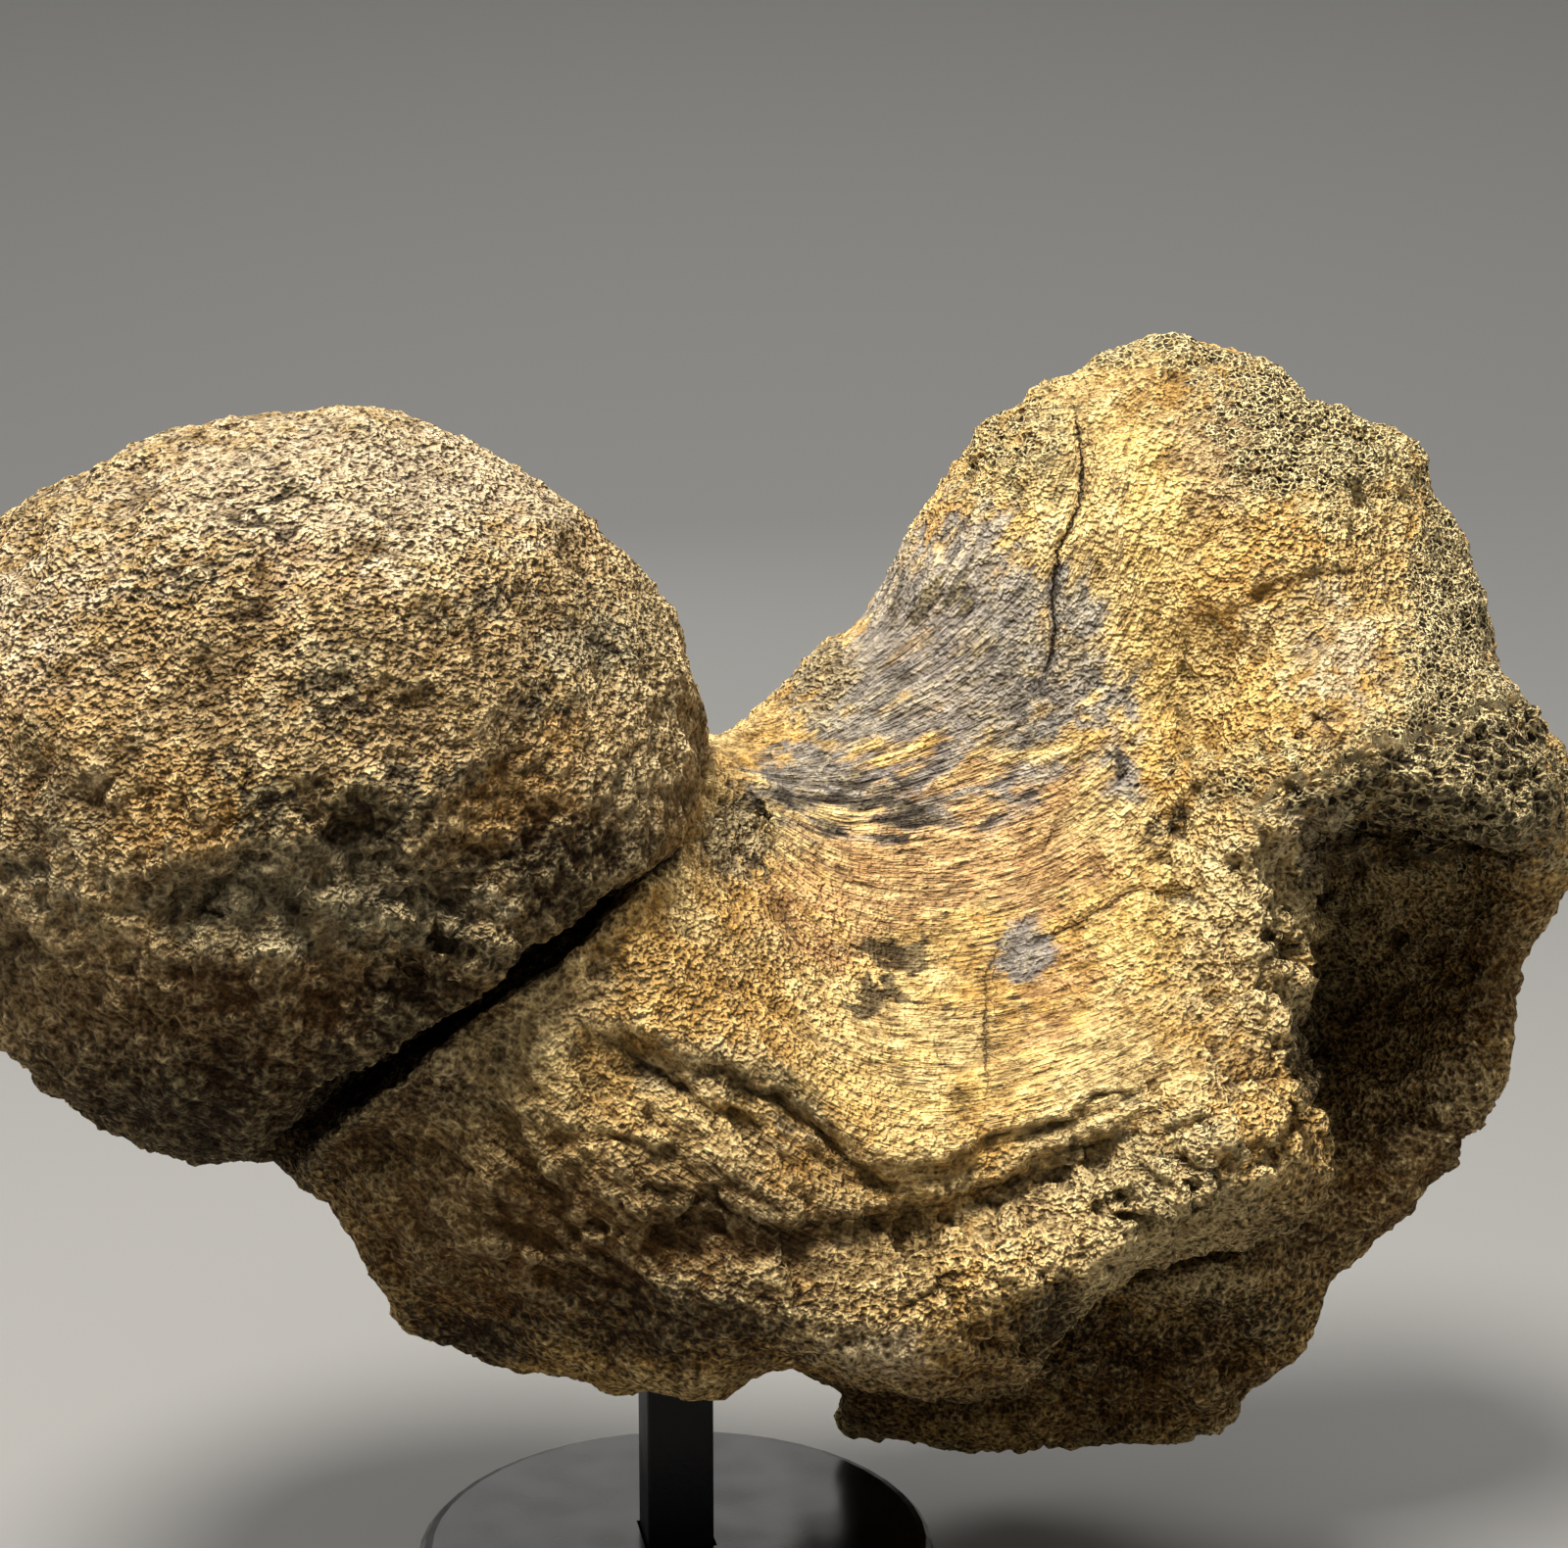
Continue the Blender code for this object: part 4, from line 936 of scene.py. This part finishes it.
def finishBone(piece):
    paint = bpy.data.materials.new("fossil bone")
    paint.use_nodes = True
    tree = paint.node_tree
    look = boneFinish
    place = put(tree, "TexCoord").outputs["Object"]
    run = attribute(tree, "fibreRun", "Vector")
    fibrous, spongy = attribute(tree, "fibrous"), attribute(tree, "spongy")
    ball = attribute(tree, "ballSkin")
    hollow, ridge = attribute(tree, "hollow"), attribute(tree, "ridge")
    grain, patches = attribute(tree, "grain"), attribute(tree, "patches")

    fineGrain = effect(tree, "grain", Place=place, Size=look["speckSize"], Contrast=0.22)["Grain"]
    fibres = effect(tree, "fibres", Run=run, Patches=patches,
                    Width=look["fibreWidth"], Length=look["fibreLength"])
    wall = stretched(tree, attribute(tree, "honeycomb"), 0.4, 0.6, look["poreWall"], look["honeycombWall"])
    pores = effect(tree, "pores", Cells=attribute(tree, "cells", "Vector"), Wall=wall, Bend=fineGrain)
    streaky = calc(tree, "MAXIMUM", fibrous, calc(tree, "MULTIPLY", ball, look["ballStreaks"]))
    shade = put(tree, "Mix", {0: streaky, 2: fineGrain, 3: fibres["Streaks"]}, data_type="FLOAT").outputs[0]

    # outer skin of the bone, and of its ball
    skin = blended(tree, attribute(tree, "drifts"), look["skin"], look["skinLight"])
    skin = blended(tree, calc(tree, "MULTIPLY", patches, 0.35), skin, look["skinDark"])
    ballSkin = blended(tree, grain, look["ball"], look["ballLight"])
    ballSkin = blended(tree, calc(tree, "MULTIPLY", patches, 0.75), ballSkin, look["ballDark"])
    colour = blended(tree, ball, skin, ballSkin)

    # drawn patches of colour, some of them painted light and painted shade
    tatter = stretched(tree, shade, 0.0, 1.0, 0.28, -0.28)
    for name, tint, strength in look["tints"]:
        low = 0.32 if name in ("scar", "stain") else 0.12
        mask = stretched(tree, calc(tree, "ADD", attribute(tree, name), tatter), low, 1 - low, 0.0, strength)
        colour = blended(tree, mask, colour, tint)

    # streaks, lighter and darker than the patch they run through
    shade = calc(tree, "MULTIPLY", shade, stretched(tree, grain, 0.0, 1.0, 0.75, 1.15))
    streak = blended(tree, shade, look["darkStreak"], look["lightStreak"])
    colour = blended(tree, 1.0, colour, streak, "MULTIPLY")
    splits = calc(tree, "MULTIPLY", fibres["Splits"], calc(tree, "MULTIPLY", fibrous, 0.75))
    colour = blended(tree, splits, colour, look["dirtAndShade"])

    # spongy bone: pale walls round dark pores, whose dark also paints the shade inside them
    sponge = blended(tree, pores["Pores"], blended(tree, 0.85, colour, look["wall"]), look["pore"])
    colour = blended(tree, spongy, colour, sponge)

    # small pits of the ball, dark spots that paint the shade inside each pit
    high = stretched(tree, attribute(tree, "ballLow"), 0.1, 0.9, 0.8, 0.2)
    pitted = calc(tree, "MULTIPLY", ball, high)
    pitted = calc(tree, "MULTIPLY", stretched(tree, fineGrain, 0.34, 0.12), pitted)
    colour = blended(tree, pitted, colour, look["pore"])

    # cracks, a thin dark line with a wavering edge; along each ledge's foot it is a painted shadow line
    waver = stretched(tree, fineGrain, 0.0, 1.0, -0.3, 0.3)
    away = calc(tree, "ABSOLUTE", calc(tree, "ADD", attribute(tree, "crackSide"), waver))
    near = attribute(tree, "crackNear")
    width = calc(tree, "MULTIPLY", near, look["crackWidth"])
    inner, outer = calc(tree, "MULTIPLY", width, 0.4), calc(tree, "ADD", width, 0.12)
    crack = stretched(tree, away, inner, outer, 1.0, 0.0)
    crack = calc(tree, "MULTIPLY", crack, near)
    colour = blended(tree, crack, colour, look["pore"])

    # dirt and painted shade in hollows and where the sky is hidden, and pale wear with a painted highlight on
    # ridges
    deep = stretched(tree, attribute(tree, "shelter"), 0.35, 0.9)
    dirtAndShade = calc(tree, "MULTIPLY", hollow, stretched(tree, grain, 0.0, 1.0, 0.5, 1.0), clamp=True)
    settledDirtAndShade = calc(tree, "MULTIPLY", deep, stretched(tree, grain, 0.0, 1.0, 0.8, 1.0))
    dirtAndShade = calc(tree, "MAXIMUM", dirtAndShade, settledDirtAndShade)
    kept = stretched(tree, spongy, 0.0, 1.0, *look["dirtAndShadeAmount"])
    colour = blended(tree, calc(tree, "MULTIPLY", dirtAndShade, kept), colour, look["dirtAndShade"])
    wearAndHighlight = calc(tree, "MULTIPLY", ridge, stretched(tree, fineGrain, 0.2, 1.0, 0.05, 0.55), clamp=True)
    wearAndHighlight = calc(tree, "MULTIPLY", wearAndHighlight, calc(tree, "SUBTRACT", 1.0, deep, clamp=True))
    colour = blended(tree, wearAndHighlight, colour, look["wearAndHighlight"])

    # heights, in mm of relief
    height = calc(tree, "MULTIPLY", fibres["Height"], calc(tree, "MULTIPLY", streaky, look["fibreRelief"]))
    plain = calc(tree, "SUBTRACT", 1.0, calc(tree, "MULTIPLY", fibrous, 0.6))
    height = calc(tree, "ADD", height, calc(tree, "MULTIPLY", fineGrain, plain))
    holes = calc(tree, "MULTIPLY", spongy, look["poreRelief"])
    height = calc(tree, "ADD", height, calc(tree, "MULTIPLY", pores["Height"], holes))
    height = calc(tree, "SUBTRACT", height, calc(tree, "MULTIPLY", crack, look["crackRelief"]))
    bump = put(tree, "Bump", {"Height": height, "Strength": 1.0, "Distance": look["reliefScale"]})

    shader = tree.nodes["Principled BSDF"]
    tree.links.new(colour, shader.inputs["Base Color"])
    tree.links.new(bump.outputs["Normal"], shader.inputs["Normal"])
    roughness = stretched(tree, calc(tree, "MULTIPLY", fibrous, fibres["Streaks"]), 0.0, 1.0, 0.9, 0.55)
    tree.links.new(roughness, shader.inputs["Roughness"])
    shader.inputs["Specular IOR Level"].default_value = look["specular"]
    piece.data.materials.append(paint)


finishBone(fossilBone)
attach(fossilBone, "root")
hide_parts("occipital_condyle")
print("bone finished")


standFinish = {
    "postColour": tone(15, 15, 17),
    "baseColour": tone(10, 10, 12),
    "dust": tone(120, 116, 108),
    "dustAmount": 0.12,
    "smearSize": 9.0,
    "specular": 0.25,
    # roughness, size of the grain in mm, its height in mm
    "post": (0.45, 0.6, 0.02),
    "base": (0.24, 0.5, 0.003),
}


def finishStand(piece, name, colour, roughness, grainSize, grainHeight):
    paint = bpy.data.materials.new(name)
    paint.use_nodes = True
    tree = paint.node_tree
    place = put(tree, "TexCoord").outputs["Object"]
    speck = effect(tree, "grain", Place=place, Size=grainSize, Contrast=0.25)["Grain"]
    smear = effect(tree, "grain", Place=place, Size=standFinish["smearSize"], Contrast=0.2)["Grain"]
    upward = put(tree, "SeparateXYZ", {0: put(tree, "NewGeometry").outputs["Normal"]}).outputs["Z"]
    settledDirtAndShade = calc(tree, "MULTIPLY", stretched(tree, upward, 0.3, 1.0), stretched(tree, speck, 0.72, 1.0))
    dusty = calc(tree, "MULTIPLY", settledDirtAndShade, standFinish["dustAmount"])
    shader = tree.nodes["Principled BSDF"]
    tree.links.new(blended(tree, dusty, colour, standFinish["dust"]), shader.inputs["Base Color"])
    worn = stretched(tree, smear, 0.0, 1.0, roughness - 0.05, roughness + 0.08)
    tree.links.new(worn, shader.inputs["Roughness"])
    height = calc(tree, "MULTIPLY", speck, grainHeight)
    bump = put(tree, "Bump", {"Height": height, "Strength": 1.0, "Distance": mm})
    tree.links.new(bump.outputs["Normal"], shader.inputs["Normal"])
    shader.inputs["Specular IOR Level"].default_value = standFinish["specular"]
    piece.material_slots[0].material = paint


post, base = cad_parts["stand_post"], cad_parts["stand_base"]
finishStand(post, "black painted steel", standFinish["postColour"], *standFinish["post"])
finishStand(base, "black lacquer", standFinish["baseColour"], *standFinish["base"])
print("stand finished")
